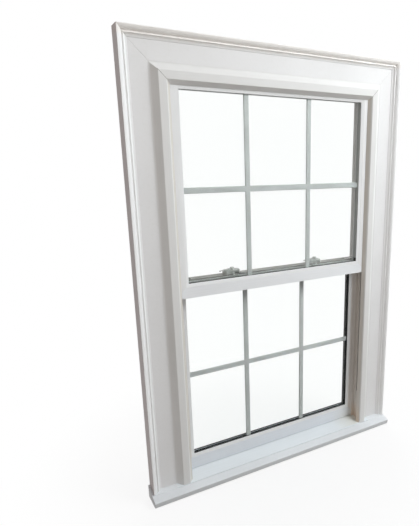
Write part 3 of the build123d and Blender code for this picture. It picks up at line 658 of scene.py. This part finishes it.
# painted shade along the foot of the upper spacer
foot_shade = (glass_foot, (0.14, 0.14, 0.13))
spacer_grey = soft_matte(
    "spacer_grey", (0.5, 0.51, 0.51), (0.56, 0.57, 0.57), 300.0, (0.5, 0.7), DULL_SHEEN, [foot_shade]
)
spacer_black = soft_matte(
    "spacer_black", (0.018, 0.019, 0.02), (0.035, 0.037, 0.04), 300.0, (0.5, 0.7), DULL_SHEEN
)
nylon = soft_matte("shoe_nylon", (0.66, 0.66, 0.62), (0.74, 0.74, 0.71), 200.0, (0.4, 0.6))
rubber = soft_matte("seal_rubber", (0.02, 0.02, 0.02), (0.04, 0.04, 0.04), 400.0, (0.5, 0.7))
pile_grey = soft_matte("pile_grey", (0.25, 0.25, 0.25), (0.45, 0.45, 0.44), 900.0, (0.7, 0.9))
print("dull finishes:", [m.name for m in (spacer_grey, spacer_black, nylon, rubber, pile_grey)])

# %% [markdown]
# ## Which piece has which finish
# The names of the solids say what they are, so a short table is enough: a finish, and the parts of
# names that have it. The first row that fits decides.

# %% Finish by name
FINISHES = (
    (glass, "_pane"),
    (spacer_grey, "upper_spacer"),
    (spacer_black, "lower_spacer"),
    (grille_enamel, "_grille"),
    (pile_grey, "_pile"),
    (rubber, "_seal"),
    (plated, "_screws", "pivot_bar", "balance_"),
    (nylon, "_shoe_"),
    (lock_enamel, "lock_", "keeper"),
    (casing_paint, "casing_"),
    (sill_paint, "sill_nose"),
    (frame_upright, "frame_jamb", "slot_cover"),
    (sill_level, "frame_sill"),
    (frame_level, "frame_head"),
    (meeting_level, "upper_meeting_rail"),
    (tipped_upright, "lower_stile"),
    (tipped_level, "lower_meeting_rail"),
    (bottom_level, "lower_bottom_rail"),
    (sash_upright, "_stile_", "_glazing_bead"),
    (sash_level, "_rail", "_latch_"),
)


def first_fit(table, node):
    """The value of the first row that has a part of the solid's name, or None."""
    return next((value for value, *parts in table if any(part in node for part in parts)), None)


for node, obj in frame["nodes"].items():
    obj.data.materials.clear()
    obj.data.materials.append(first_fit(FINISHES, node))
print("finished solids:", len(frame["nodes"]))

# %% [markdown]
# ## Rounded edges
# A solid from drawing has edges as sharp as a knife, and no light ever catches on them. A real
# extrusion has small radii from its die and a planed board has its corners sanded, and those thin
# bright lines are much of what makes a white object readable. A bevel on a copy of each solid
# gives them. The loaded mesh is loose triangles, so the copy is first merged, and flat areas are
# joined into single faces; otherwise the bevel would run along every triangle. Faces inside a
# mitre, where two bars of one piece touch, are left out: their edges carry more than the two faces
# that an edge of a skin has. Where two mitred pieces meet, the two bevels leave the fine groove
# that shows a weld or a joint.

# %% Copies with rounded edges
MERGE = 1e-6
FLAT, SHARP = radians(0.4), radians(28)
BEVEL_STEPS = 2
FACES_AT_EDGE = 2


def settle(obj, mat):
    """Turns an object with live modifiers into a plain mesh with one material."""
    shown = obj.evaluated_get(bpy.context.evaluated_depsgraph_get())
    plain = bpy.data.meshes.new_from_object(shown)
    obj.modifiers.clear()
    obj.data = plain
    plain.materials.clear()
    plain.materials.append(mat)
    return obj


def merged_mesh(node):
    """A solid's mesh with its triangles merged into a skin of flat faces."""
    mesh = bpy.data.meshes.new(f"{node}_soft")
    bm = bmesh.new()
    bm.from_mesh(frame["nodes"][node].data)
    bmesh.ops.remove_doubles(bm, verts=bm.verts, dist=MERGE)
    bmesh.ops.dissolve_limit(bm, angle_limit=FLAT, verts=bm.verts, edges=bm.edges)
    crowded = {edge for edge in bm.edges if len(edge.link_faces) > FACES_AT_EDGE}
    hidden = [face for face in bm.faces if crowded.issuperset(face.edges)]
    bmesh.ops.delete(bm, geom=hidden, context="FACES_ONLY")
    bm.to_mesh(mesh)
    bm.free()
    return mesh


def rounded_copy(node, radius):
    """A copy of a solid with its edges rounded, as a plain mesh."""
    mesh = merged_mesh(node)
    copy = bpy.data.objects.new(f"{node}_soft", mesh)
    bpy.context.scene.collection.objects.link(copy)
    edge = copy.modifiers.new("edge", "BEVEL")
    edge.width = radius
    edge.segments = BEVEL_STEPS
    edge.limit_method = "ANGLE"
    edge.angle_limit = SHARP
    weigh = copy.modifiers.new("weigh", "WEIGHTED_NORMAL")
    weigh.keep_sharp = True
    mesh.shade_smooth()
    return settle(copy, first_fit(FINISHES, node))


print("edges sharper than", round(SHARP, 3), "rad are rounded in", BEVEL_STEPS, "steps")

# %% Radii of the pieces
EDGE_RADII = (
    (0.0012, "sill_nose"),
    (0.0008, "casing_"),
    (0.0007, "_rail", "_stile_"),
    (0.0006, "frame_", "lock_base"),
    (0.0005, "lock_lever", "_shoe_"),
    (0.0004, "_glazing_bead", "_latch_", "pivot_bar"),
    (0.0003, "keeper_left", "keeper_right", "slot_cover"),
)

rounded = 0
for node in sorted(frame["nodes"]):
    radius = first_fit(EDGE_RADII, node)
    if radius is not None:
        copy = rounded_copy(node, radius)
        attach(copy, body_of[node])
        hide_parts(node)
        rounded += 1
print("pieces with rounded edges:", rounded)

# %% [markdown]
# ## Helpers for node trees
# Screws, pile and springs repeat one small shape many times, and that is what Geometry Nodes are
# for: a tree holds the recipe, its inputs hold the sizes, and the same tree serves both sashes. A
# few helpers start a tree with named inputs, add, move and join shapes, end the tree with real
# geometry, and run it on a new object that becomes a plain mesh.

# %% Node tree helpers
NUMBER, WHOLE, PLACE = "NodeSocketFloat", "NodeSocketInt", "NodeSocketVector"


def new_recipe(name, **inputs):
    """A geometry tree with named inputs; gives the tree and its input sockets."""
    tree = bpy.data.node_groups.new(name, "GeometryNodeTree")
    tree.interface.new_socket("Shape", in_out="OUTPUT", socket_type="NodeSocketGeometry")
    for label, kind in inputs.items():
        tree.interface.new_socket(label, in_out="INPUT", socket_type=kind)
    return tree, tree.nodes.new("NodeGroupInput").outputs


def step(tree, kind, setting=None, **sockets):
    """Adds a node; sockets are given by name, with numbers or other nodes' outputs."""
    node = tree.nodes.new(f"GeometryNode{kind}")
    for key, value in (setting or {}).items():
        setattr(node, key, value)
    for name, value in sockets.items():
        fill(tree, node.inputs[name.replace("_", " ")], value)
    return node.outputs[0]


def vector_of(tree, x=0.0, y=0.0, z=0.0):
    """Three numbers or outputs as one vector."""
    node = tree.nodes.new("ShaderNodeCombineXYZ")
    for socket, value in zip(node.inputs, (x, y, z)):
        fill(tree, socket, value)
    return node.outputs[0]


def moved(tree, shape, **how):
    """A shape moved by Translation or turned by Rotation."""
    return step(tree, "Transform", Geometry=shape, **how)


def joined(tree, *shapes):
    """Several shapes as one."""
    return step(tree, "JoinGeometry", Geometry=list(shapes))


def finish_recipe(tree, shape, mat):
    """Ends a tree: real geometry instead of instances, with its finish."""
    real = step(tree, "RealizeInstances", Geometry=shape)
    done = step(tree, "SetMaterial", Geometry=real, Material=mat)
    link(tree, done, tree.nodes.new("NodeGroupOutput").inputs[0])


def grow(name, tree, mat, **values):
    """Runs a tree with these values on a new object and keeps the result as a plain mesh."""
    obj = bpy.data.objects.new(name, bpy.data.meshes.new(name))
    bpy.context.scene.collection.objects.link(obj)
    recipe = obj.modifiers.new("recipe", "NODES")
    recipe.node_group = tree
    for item in tree.interface.items_tree:
        if item.in_out == "INPUT":
            recipe[item.identifier] = values[item.name]
    return settle(obj, mat)


print("tree helpers: 7, for node trees")

# %% [markdown]
# ## Screws
# Two screws hold each lock and two hold each keeper. Each is a low head with a cross cut into it,
# on a threaded shank. The head is a cone with its top cut by two small blocks. They differ a
# little in depth, because floors in one plane would leave a stray face where the blocks cross. The
# thread is a stack of short cones, which at this size can't be told from a helix. One tree makes a
# screw, repeats it for a pair and repeats the pair for both locks.

# %% Screw recipe
HEAD_SIDES, THREAD_SIDES = 24, 12
HEAD_TOP_SHARE, THREAD_ROOT_SHARE = 0.86, 0.74
CROSS_WIDE, CROSS_LONG = 0.0008, 0.0036
CROSS_DEPTHS = (0.0009, 0.00085)
THREAD_PITCH = 0.0013


def screw_head(tree, size, down):
    """A low head with a cross in its top, which lies at height 0."""
    head = step(
        tree, "MeshCone", Vertices=HEAD_SIDES, Depth=size["head_height"],
        Radius_Bottom=size["head_radius"],
        Radius_Top=maths(tree, "MULTIPLY", size["head_radius"], HEAD_TOP_SHARE),
    )
    head = moved(tree, head, Translation=vector_of(tree, z=down))
    cut = [
        step(tree, "MeshCube", Size=(CROSS_LONG, CROSS_WIDE, 2 * CROSS_DEPTHS[0])),
        step(tree, "MeshCube", Size=(CROSS_WIDE, CROSS_LONG, 2 * CROSS_DEPTHS[1])),
    ]
    return step(tree, "MeshBoolean", {"operation": "DIFFERENCE"}, Mesh_1=head, Mesh_2=cut)


def screw_shank(tree, size, down):
    """A stack of short cones under the head."""
    turn = step(
        tree, "MeshCone", Vertices=THREAD_SIDES, Depth=THREAD_PITCH,
        Radius_Top=size["shank_radius"],
        Radius_Bottom=maths(tree, "MULTIPLY", size["shank_radius"], THREAD_ROOT_SHARE),
    )
    first = vector_of(tree, z=maths(tree, "SUBTRACT", down, THREAD_PITCH))
    stack = step(
        tree, "MeshLine", Count=size["turns"], Start_Location=first, Offset=(0, 0, -THREAD_PITCH)
    )
    return step(tree, "InstanceOnPoints", Points=stack, Instance=turn)


def screw_recipe():
    """Cross-head screws: one for each point of two pairs."""
    tree, size = new_recipe(
        "cross_head_screws", head_radius=NUMBER, head_height=NUMBER, shank_radius=NUMBER,
        turns=WHOLE, pair_gap=NUMBER, lock_gap=NUMBER, top=PLACE,
    )
    down = maths(tree, "MULTIPLY", size["head_height"], -1.0)
    pairs = joined(tree, screw_head(tree, size, down), screw_shank(tree, size, down))
    for gap in ("pair_gap", "lock_gap"):
        first = vector_of(tree, x=maths(tree, "MULTIPLY", size[gap], -0.5))
        offset = vector_of(tree, x=size[gap])
        line = step(tree, "MeshLine", Count=2, Start_Location=first, Offset=offset)
        pairs = step(tree, "InstanceOnPoints", Points=line, Instance=pairs)
    finish_recipe(tree, moved(tree, pairs, Translation=size["top"]), plated)
    return tree


screws = screw_recipe()
print("screw recipe nodes:", len(screws.nodes))

# %% Screws of the locks and the keepers
SCREW_HEAD_HEIGHT = 0.0018
SCREW_SHANK_RADIUS = 0.0016


def screw_set(node, holder):
    """The screws of both locks or both keepers, in the places of their solids."""
    low, high = box_of(node)
    holder_low, holder_high = box_of(f"{holder}_left")
    holder_x = (holder_low.x + holder_high.x) / 2
    head_radius = (high.y - low.y) / 2
    shank_length = high.z - low.z - SCREW_HEAD_HEIGHT
    return grow(
        f"{node}_cut", screws, plated, head_radius=head_radius, head_height=SCREW_HEAD_HEIGHT,
        shank_radius=SCREW_SHANK_RADIUS, turns=int(shank_length / THREAD_PITCH),
        pair_gap=2 * (holder_x - (low.x + head_radius)), lock_gap=-2 * holder_x,
        top=(0.0, (low.y + high.y) / 2, high.z),
    )


for node, holder in (("lock_screws", "lock_base"), ("keeper_screws", "keeper")):
    made = screw_set(node, holder)
    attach(made, body_of[node])
    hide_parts(node)
    print(made.name, "faces:", len(made.data.polygons))

# %% [markdown]
# ## Pile strips
# The stiles are sealed against the jambs by pile: a woven backing in a groove, with short upright
# fibres. Hair particles could make it, but they aren't kept in an export, and a bump on a plain
# strip shows no fibres at its edge. So each strip is a thin backing with a grid of points on it,
# and each point carries one slender three-sided fibre, leaning and scaled a little at random.

# %% Pile recipe
FIBRE_ROWS, FIBRE_SIDES, FIBRE_SEED = 4, 3, 7
FIBRE_RADIUS, FIBRE_TIP_SHARE = 0.00022, 1 / 3
FIBRE_PITCH = 0.0013
FIBRE_LEAN = 0.22
FIBRE_HEIGHT_SHARES = (0.68, 0.96)
# sockets of a Random Value node that gives numbers
RANDOM_LOW, RANDOM_HIGH, RANDOM_NUMBER = 2, 3, 1


def leaning_fibres(tree, size):
    """A field of fibres, leaning and scaled at random."""
    fibre = step(
        tree, "MeshCone", Vertices=FIBRE_SIDES, Radius_Top=FIBRE_RADIUS * FIBRE_TIP_SHARE,
        Radius_Bottom=FIBRE_RADIUS, Depth=size["reach"],
    )
    field = step(
        tree, "MeshGrid", Size_X=size["length"], Size_Y=size["pile_wide"],
        Vertices_X=size["along"], Vertices_Y=FIBRE_ROWS,
    )
    lean = tree.nodes.new("FunctionNodeRandomValue")
    lean.data_type = "FLOAT_VECTOR"
    lean.inputs["Min"].default_value = (-FIBRE_LEAN, -FIBRE_LEAN, 0.0)
    lean.inputs["Max"].default_value = (FIBRE_LEAN, FIBRE_LEAN, pi)
    lean.inputs["Seed"].default_value = FIBRE_SEED
    tall = tree.nodes.new("FunctionNodeRandomValue")
    tall.inputs[RANDOM_LOW].default_value = FIBRE_HEIGHT_SHARES[0]
    tall.inputs[RANDOM_HIGH].default_value = FIBRE_HEIGHT_SHARES[1]
    tall.inputs["Seed"].default_value = FIBRE_SEED + 1
    return step(
        tree, "InstanceOnPoints", Points=field, Instance=fibre, Rotation=lean.outputs[0],
        Scale=vector_of(tree, 1.0, 1.0, tall.outputs[RANDOM_NUMBER]),
    )


def pile_recipe():
    """Four strips of pile on the two stiles of a sash."""
    tree, size = new_recipe(
        "stile_pile", foot=NUMBER, backing=NUMBER, backing_wide=NUMBER, pile_wide=NUMBER,
        length=NUMBER, along=WHOLE, reach=NUMBER, strip_gap=NUMBER, middle=PLACE,
    )
    block = vector_of(tree, size["length"], size["backing_wide"], size["backing"])
    sunk = vector_of(tree, z=maths(tree, "MULTIPLY", size["backing"], -0.5))
    backing = moved(tree, step(tree, "MeshCube", Size=block), Translation=sunk)
    flat = joined(tree, leaning_fibres(tree, size), backing)
    foot = vector_of(tree, size["foot"])
    stood = moved(tree, flat, Rotation=(0.0, pi / 2, 0.0), Translation=foot)
    offsets = [maths(tree, "MULTIPLY", size["strip_gap"], side) for side in (-0.5, 0.5)]
    strips = [moved(tree, stood, Translation=vector_of(tree, y=offset)) for offset in offsets]
    right = joined(tree, *strips)
    both = joined(tree, right, moved(tree, right, Rotation=(0.0, 0.0, pi)))
    finish_recipe(tree, moved(tree, both, Translation=size["middle"]), pile_grey)
    return tree


pile = pile_recipe()
print("pile recipe nodes:", len(pile.nodes))

# %% Pile of both sashes
PILE_WIDE, BACKING_WIDE = 0.0026, 0.005
BACKING_SHARE = 0.72
STRIP_TRIM = 0.0004


def pile_set(sash):
    """The pile of one sash, in the place of its solid."""
    low, high = box_of(f"{sash}_pile")
    length = high.z - low.z - STRIP_TRIM
    reach = high.x - sash_half
    return grow(
        f"{sash}_pile_fibres", pile, pile_grey, foot=sash_half, backing=reach * BACKING_SHARE,
        backing_wide=BACKING_WIDE, pile_wide=PILE_WIDE, length=length,
        along=int(length / FIBRE_PITCH), reach=reach,
        strip_gap=high.y - low.y - BACKING_WIDE, middle=(low + high) / 2,
    )


for sash in ("upper", "lower"):
    made = pile_set(sash)
    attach(made, body_of[f"{sash}_pile"])
    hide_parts(f"{sash}_pile")
    print(made.name, "faces:", len(made.data.polygons))

# %% [markdown]
# ## Wound springs
# Each sash hangs on two constant-force springs: a steel strip wound on itself like a tape measure,
# on a plate screwed into the jamb. The solid is a plain drum. Here a spiral curve is given the
# strip's section with Curve to Mesh, which keeps the strip's width along the axis of the coil, and
# the plate and a short spindle are joined to it. All four coils sit in the jambs and never move,
# so they are one mesh.

# %% Spring recipe
SPRING_TURNS, SPRING_STEPS = 7.0, 28
STRIP_THICK, PLATE_THICK = 0.0006, 0.0022
SPINDLE_SHARE, SPINDLE_SIDES = 0.34, 24
PLATE_SINK_SHARE = 0.25


def wound_strip(tree, size, spindle_radius):
    """A strip wound from the spindle outwards, with its width along Z."""
    outer = maths(tree, "SUBTRACT", size["radius"], STRIP_THICK)
    path = step(
        tree, "CurveSpiral", Resolution=SPRING_STEPS, Rotations=SPRING_TURNS,
        Start_Radius=spindle_radius, End_Radius=outer, Height=0.0,
    )
    upright = step(tree, "SetCurveNormal", {"mode": "Z_UP"}, Curve=path)
    section = step(tree, "CurvePrimitiveQuadrilateral", Width=STRIP_THICK, Height=size["wide"])
    return step(tree, "CurveToMesh", Curve=upright, Profile_Curve=section, Fill_Caps=True)


def spring_plate(tree, size):
    """The plate on the +X side of the coil, level with it at its foot."""
    block = vector_of(tree, PLATE_THICK, size["plate_high"], size["wide"])
    aside = maths(tree, "SUBTRACT", size["radius"], PLATE_THICK * PLATE_SINK_SHARE)
    half_high = maths(tree, "MULTIPLY", size["plate_high"], 0.5)
    up = maths(tree, "SUBTRACT", half_high, size["radius"])
    plate = step(tree, "MeshCube", Size=block)
    return moved(tree, plate, Translation=vector_of(tree, aside, up))


def spring_recipe():
    """One wound spring on its plate; the coil's axis is Y and the plate lies on the +X side."""
    tree, size = new_recipe(
        "wound_spring", radius=NUMBER, wide=NUMBER, plate_high=NUMBER, turned=NUMBER, centre=PLACE
    )
    spindle_radius = maths(tree, "MULTIPLY", size["radius"], SPINDLE_SHARE)
    spindle = step(
        tree, "MeshCylinder", Vertices=SPINDLE_SIDES, Depth=size["wide"],
        Radius=maths(tree, "SUBTRACT", spindle_radius, STRIP_THICK),
    )
    coil = wound_strip(tree, size, spindle_radius)
    whole = joined(tree, coil, spindle, spring_plate(tree, size))
    laid = moved(tree, whole, Rotation=(pi / 2, 0.0, 0.0))
    faced = moved(tree, laid, Rotation=vector_of(tree, z=size["turned"]))
    finish_recipe(tree, moved(tree, faced, Translation=size["centre"]), plated)
    return tree


spring = spring_recipe()
print("spring recipe nodes:", len(spring.nodes))

# %% Springs of both sashes


def spring_at(node):
    """A wound spring in the place of its solid."""
    low, high = box_of(node)
    side = 1 if low.x > 0 else -1
    plate_face = max(abs(low.x), abs(high.x))
    inner_edge = min(abs(low.x), abs(high.x))
    radius = (plate_face - inner_edge - STRIP_THICK) / 2
    return grow(
        f"{node}_wound", spring, plated, radius=radius, wide=high.y - low.y,
        plate_high=high.z - low.z, turned=0.0 if side > 0 else pi,
        centre=(side * (inner_edge + radius), (low.y + high.y) / 2, low.z + radius),
    )


def join_meshes(name, parts):
    """Several plain meshes of one body as one object."""
    bm = bmesh.new()
    for part in parts:
        bm.from_mesh(part.data)
    mesh = bpy.data.meshes.new(name)
    bm.to_mesh(mesh)
    bm.free()
    mesh.materials.append(parts[0].data.materials[0])
    for part in parts:
        bpy.data.objects.remove(part)
    whole = bpy.data.objects.new(name, mesh)
    bpy.context.scene.collection.objects.link(whole)
    return whole


coil_nodes = sorted(node for node in frame["nodes"] if node.startswith("balance_coil"))
springs = join_meshes("balance_springs", [spring_at(node) for node in coil_nodes])
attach(springs, body_of[coil_nodes[0]])
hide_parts(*coil_nodes)
print(springs.name, "faces:", len(springs.data.polygons))

# %% [markdown]
# ## Floor and backdrop
# The photograph shows the window on plain white. A pale floor carries the shadow; for the eye,
# part of its colour is plain white, so it melts into the background. As a source of light it is a
# warm grey, because the undersides in the photograph get little light from below. The eye also
# looks through the panes and at what metal mirrors, so those rays count too. A ray that has
# already bounced off a dull surface brings light and isn't the eye, even if it then passes a pane,
# so it is left out by its count of dull bounces.

# %% Floor
FLOOR_SIZE, FLOOR_DROP, FLOOR_ROUGHNESS = 14.0, 0.0005, 0.9
FLOOR_GREY, FLOOR_WHITE = (0.44, 0.41, 0.385), (0.9, 0.9, 0.9)
FADE_REACH, FADE_SHARES = (0.2, 1.0), (0.8, 1.0)
UNDER_ONE_BOUNCE = 0.5


def seen_by_eye(tree):
    """1 for the camera's rays, straight, mirrored or through glass; 0 for rays that bring light."""
    path = tree.nodes.new("ShaderNodeLightPath").outputs
    bent = maths(tree, "MAXIMUM", path["Is Transmission Ray"], path["Is Glossy Ray"])
    seen = maths(tree, "MAXIMUM", path["Is Camera Ray"], bent)
    return product(tree, seen, maths(tree, "LESS_THAN", path["Diffuse Depth"], UNDER_ONE_BOUNCE))


def vector_maths(tree, operation, *values):
    """Arithmetic on vectors and sockets; gives the outputs Vector and Value."""
    node = tree.nodes.new("ShaderNodeVectorMath")
    node.operation = operation
    for socket, value in zip(node.inputs, values):
        fill(tree, socket, value)
    return node.outputs


def fade_outwards(tree):
    """The share of plain white, which grows with the distance from the window."""
    where = tree.nodes.new("ShaderNodeTexCoord").outputs["Object"]
    away = vector_maths(tree, "LENGTH", where)["Value"]
    (near, far), (least, most) = FADE_REACH, FADE_SHARES
    return ranged(tree, away, "SMOOTHSTEP", From_Min=near, From_Max=far, To_Min=least, To_Max=most)


def pale_floor():
    """A plain floor just under the sill."""
    place = (0, 0, cad_low.z - FLOOR_DROP)
    bpy.ops.mesh.primitive_plane_add(size=FLOOR_SIZE, location=place)
    floor = bpy.context.object
    floor.name = "pale_floor"
    mat, tree, shader = new_material("floor_white", Roughness=FLOOR_ROUGHNESS)
    seen = seen_by_eye(tree)
    link(tree, blend(tree, "MIX", seen, FLOOR_GREY, FLOOR_WHITE), shader.inputs["Base Color"])
    white = tree.nodes.new("ShaderNodeEmission").outputs["Emission"]
    share = product(tree, seen, fade_outwards(tree))
    mixed_surface(tree, share, shader.outputs["BSDF"], white)
    floor.data.materials.append(mat)
    return floor


print("floor:", pale_floor().name)

# %% [markdown]
# ## Light from the sides
# In the photograph the faces that look left are dark and a little brown, those that look to the
# front and the right are bright, and the sill, which looks at the sky, is bluish. One lamp can't
# do that. So the world is a soft light with a colour for each side: a surface takes a mix of the
# sides that it looks at. To the eye the world is plain white.

# %% World
SIDE_LIGHT = (
    ((1, 0, 0), (0.5, 0.5, 0.51)),
    ((-1, 0, 0), (0.085, 0.07, 0.06)),
    ((0, -1, 0), (0.08, 0.08, 0.08)),
    ((0, 1, 0), (0.26, 0.25, 0.25)),
    ((0, 0, 1), (0.31, 0.31, 0.32)),
)


def light_of_side(tree, side, colour):
    """A colour that is full towards its side and fades to none at a right angle to it."""
    where = tree.nodes.new("ShaderNodeTexCoord").outputs["Generated"]
    facing = vector_maths(tree, "DOT_PRODUCT", where, side)["Value"]
    return vector_maths(tree, "MULTIPLY", colour, maths(tree, "MAXIMUM", facing, 0.0))["Vector"]


def side_lit_world():
    """White to the eye, and as a light a colour for each side."""
    world = bpy.data.worlds.new("side_lit_world")
    bpy.context.scene.world = world
    world.use_nodes = True
    tree = world.node_tree
    light = reduce(
        lambda total, lit: vector_maths(tree, "ADD", total, lit)["Vector"],
        [light_of_side(tree, side, colour) for side, colour in SIDE_LIGHT],
    )
    shown = blend(tree, "MIX", seen_by_eye(tree), light, CLEAN)
    link(tree, shown, tree.nodes["Background"].inputs["Color"])
    return world


print("world:", side_lit_world().name, "with", len(SIDE_LIGHT), "sides")

# %% [markdown]
# ## Lamps
# A wide lamp, high on the right, adds the fall of light from top to bottom, and two weaker ones
# fill in, warm from the left and cool from the right. Their strengths were worked out from the
# tones of some thirty places in the photograph. A lamp behind the window shows its inside, which
# the photograph doesn't. It would be seen as a bright square through the panes, so it is hidden
# from rays that have passed glass.

# %% Lamps
MAIN, LEFT, RIGHT, BACK = "main_lamp", "left_lamp", "right_lamp", "back_lamp"
LAMPS = (
    (MAIN, (1.3, -1.5, 2.3), 1.2, 43.0, (0.95, 0.985, 1.0)),
    (LEFT, (-1.6, -1.4, 2.0), 1.2, 5.6, (1.0, 0.93, 0.84)),
    (RIGHT, (1.8, -0.5, 1.8), 0.8, 4.2, (0.82, 0.98, 1.0)),
    (BACK, (1.0, 2.2, 2.0), 1.6, 26.0, (1.0, 0.99, 0.97)),
)
LAMP_TARGET = Vector((0.15, 0.0, 0.9))


def soft_lamp(name, place, size, power, colour):
    """A square lamp that faces the window."""
    data = bpy.data.lights.new(name, "AREA")
    data.size = size
    data.energy = power
    data.color = colour
    lamp = bpy.data.objects.new(name, data)
    lamp.location = place
    lamp.visible_glossy = False
    lamp.visible_transmission = name != BACK
    lamp.rotation_mode = "QUATERNION"
    lamp.rotation_quaternion = (LAMP_TARGET - Vector(place)).to_track_quat("-Z", "Y")
    bpy.context.scene.collection.objects.link(lamp)
    return lamp


print("lamps:", [soft_lamp(*lamp).name for lamp in LAMPS])
bpy.context.scene.view_settings.view_transform = "Standard"
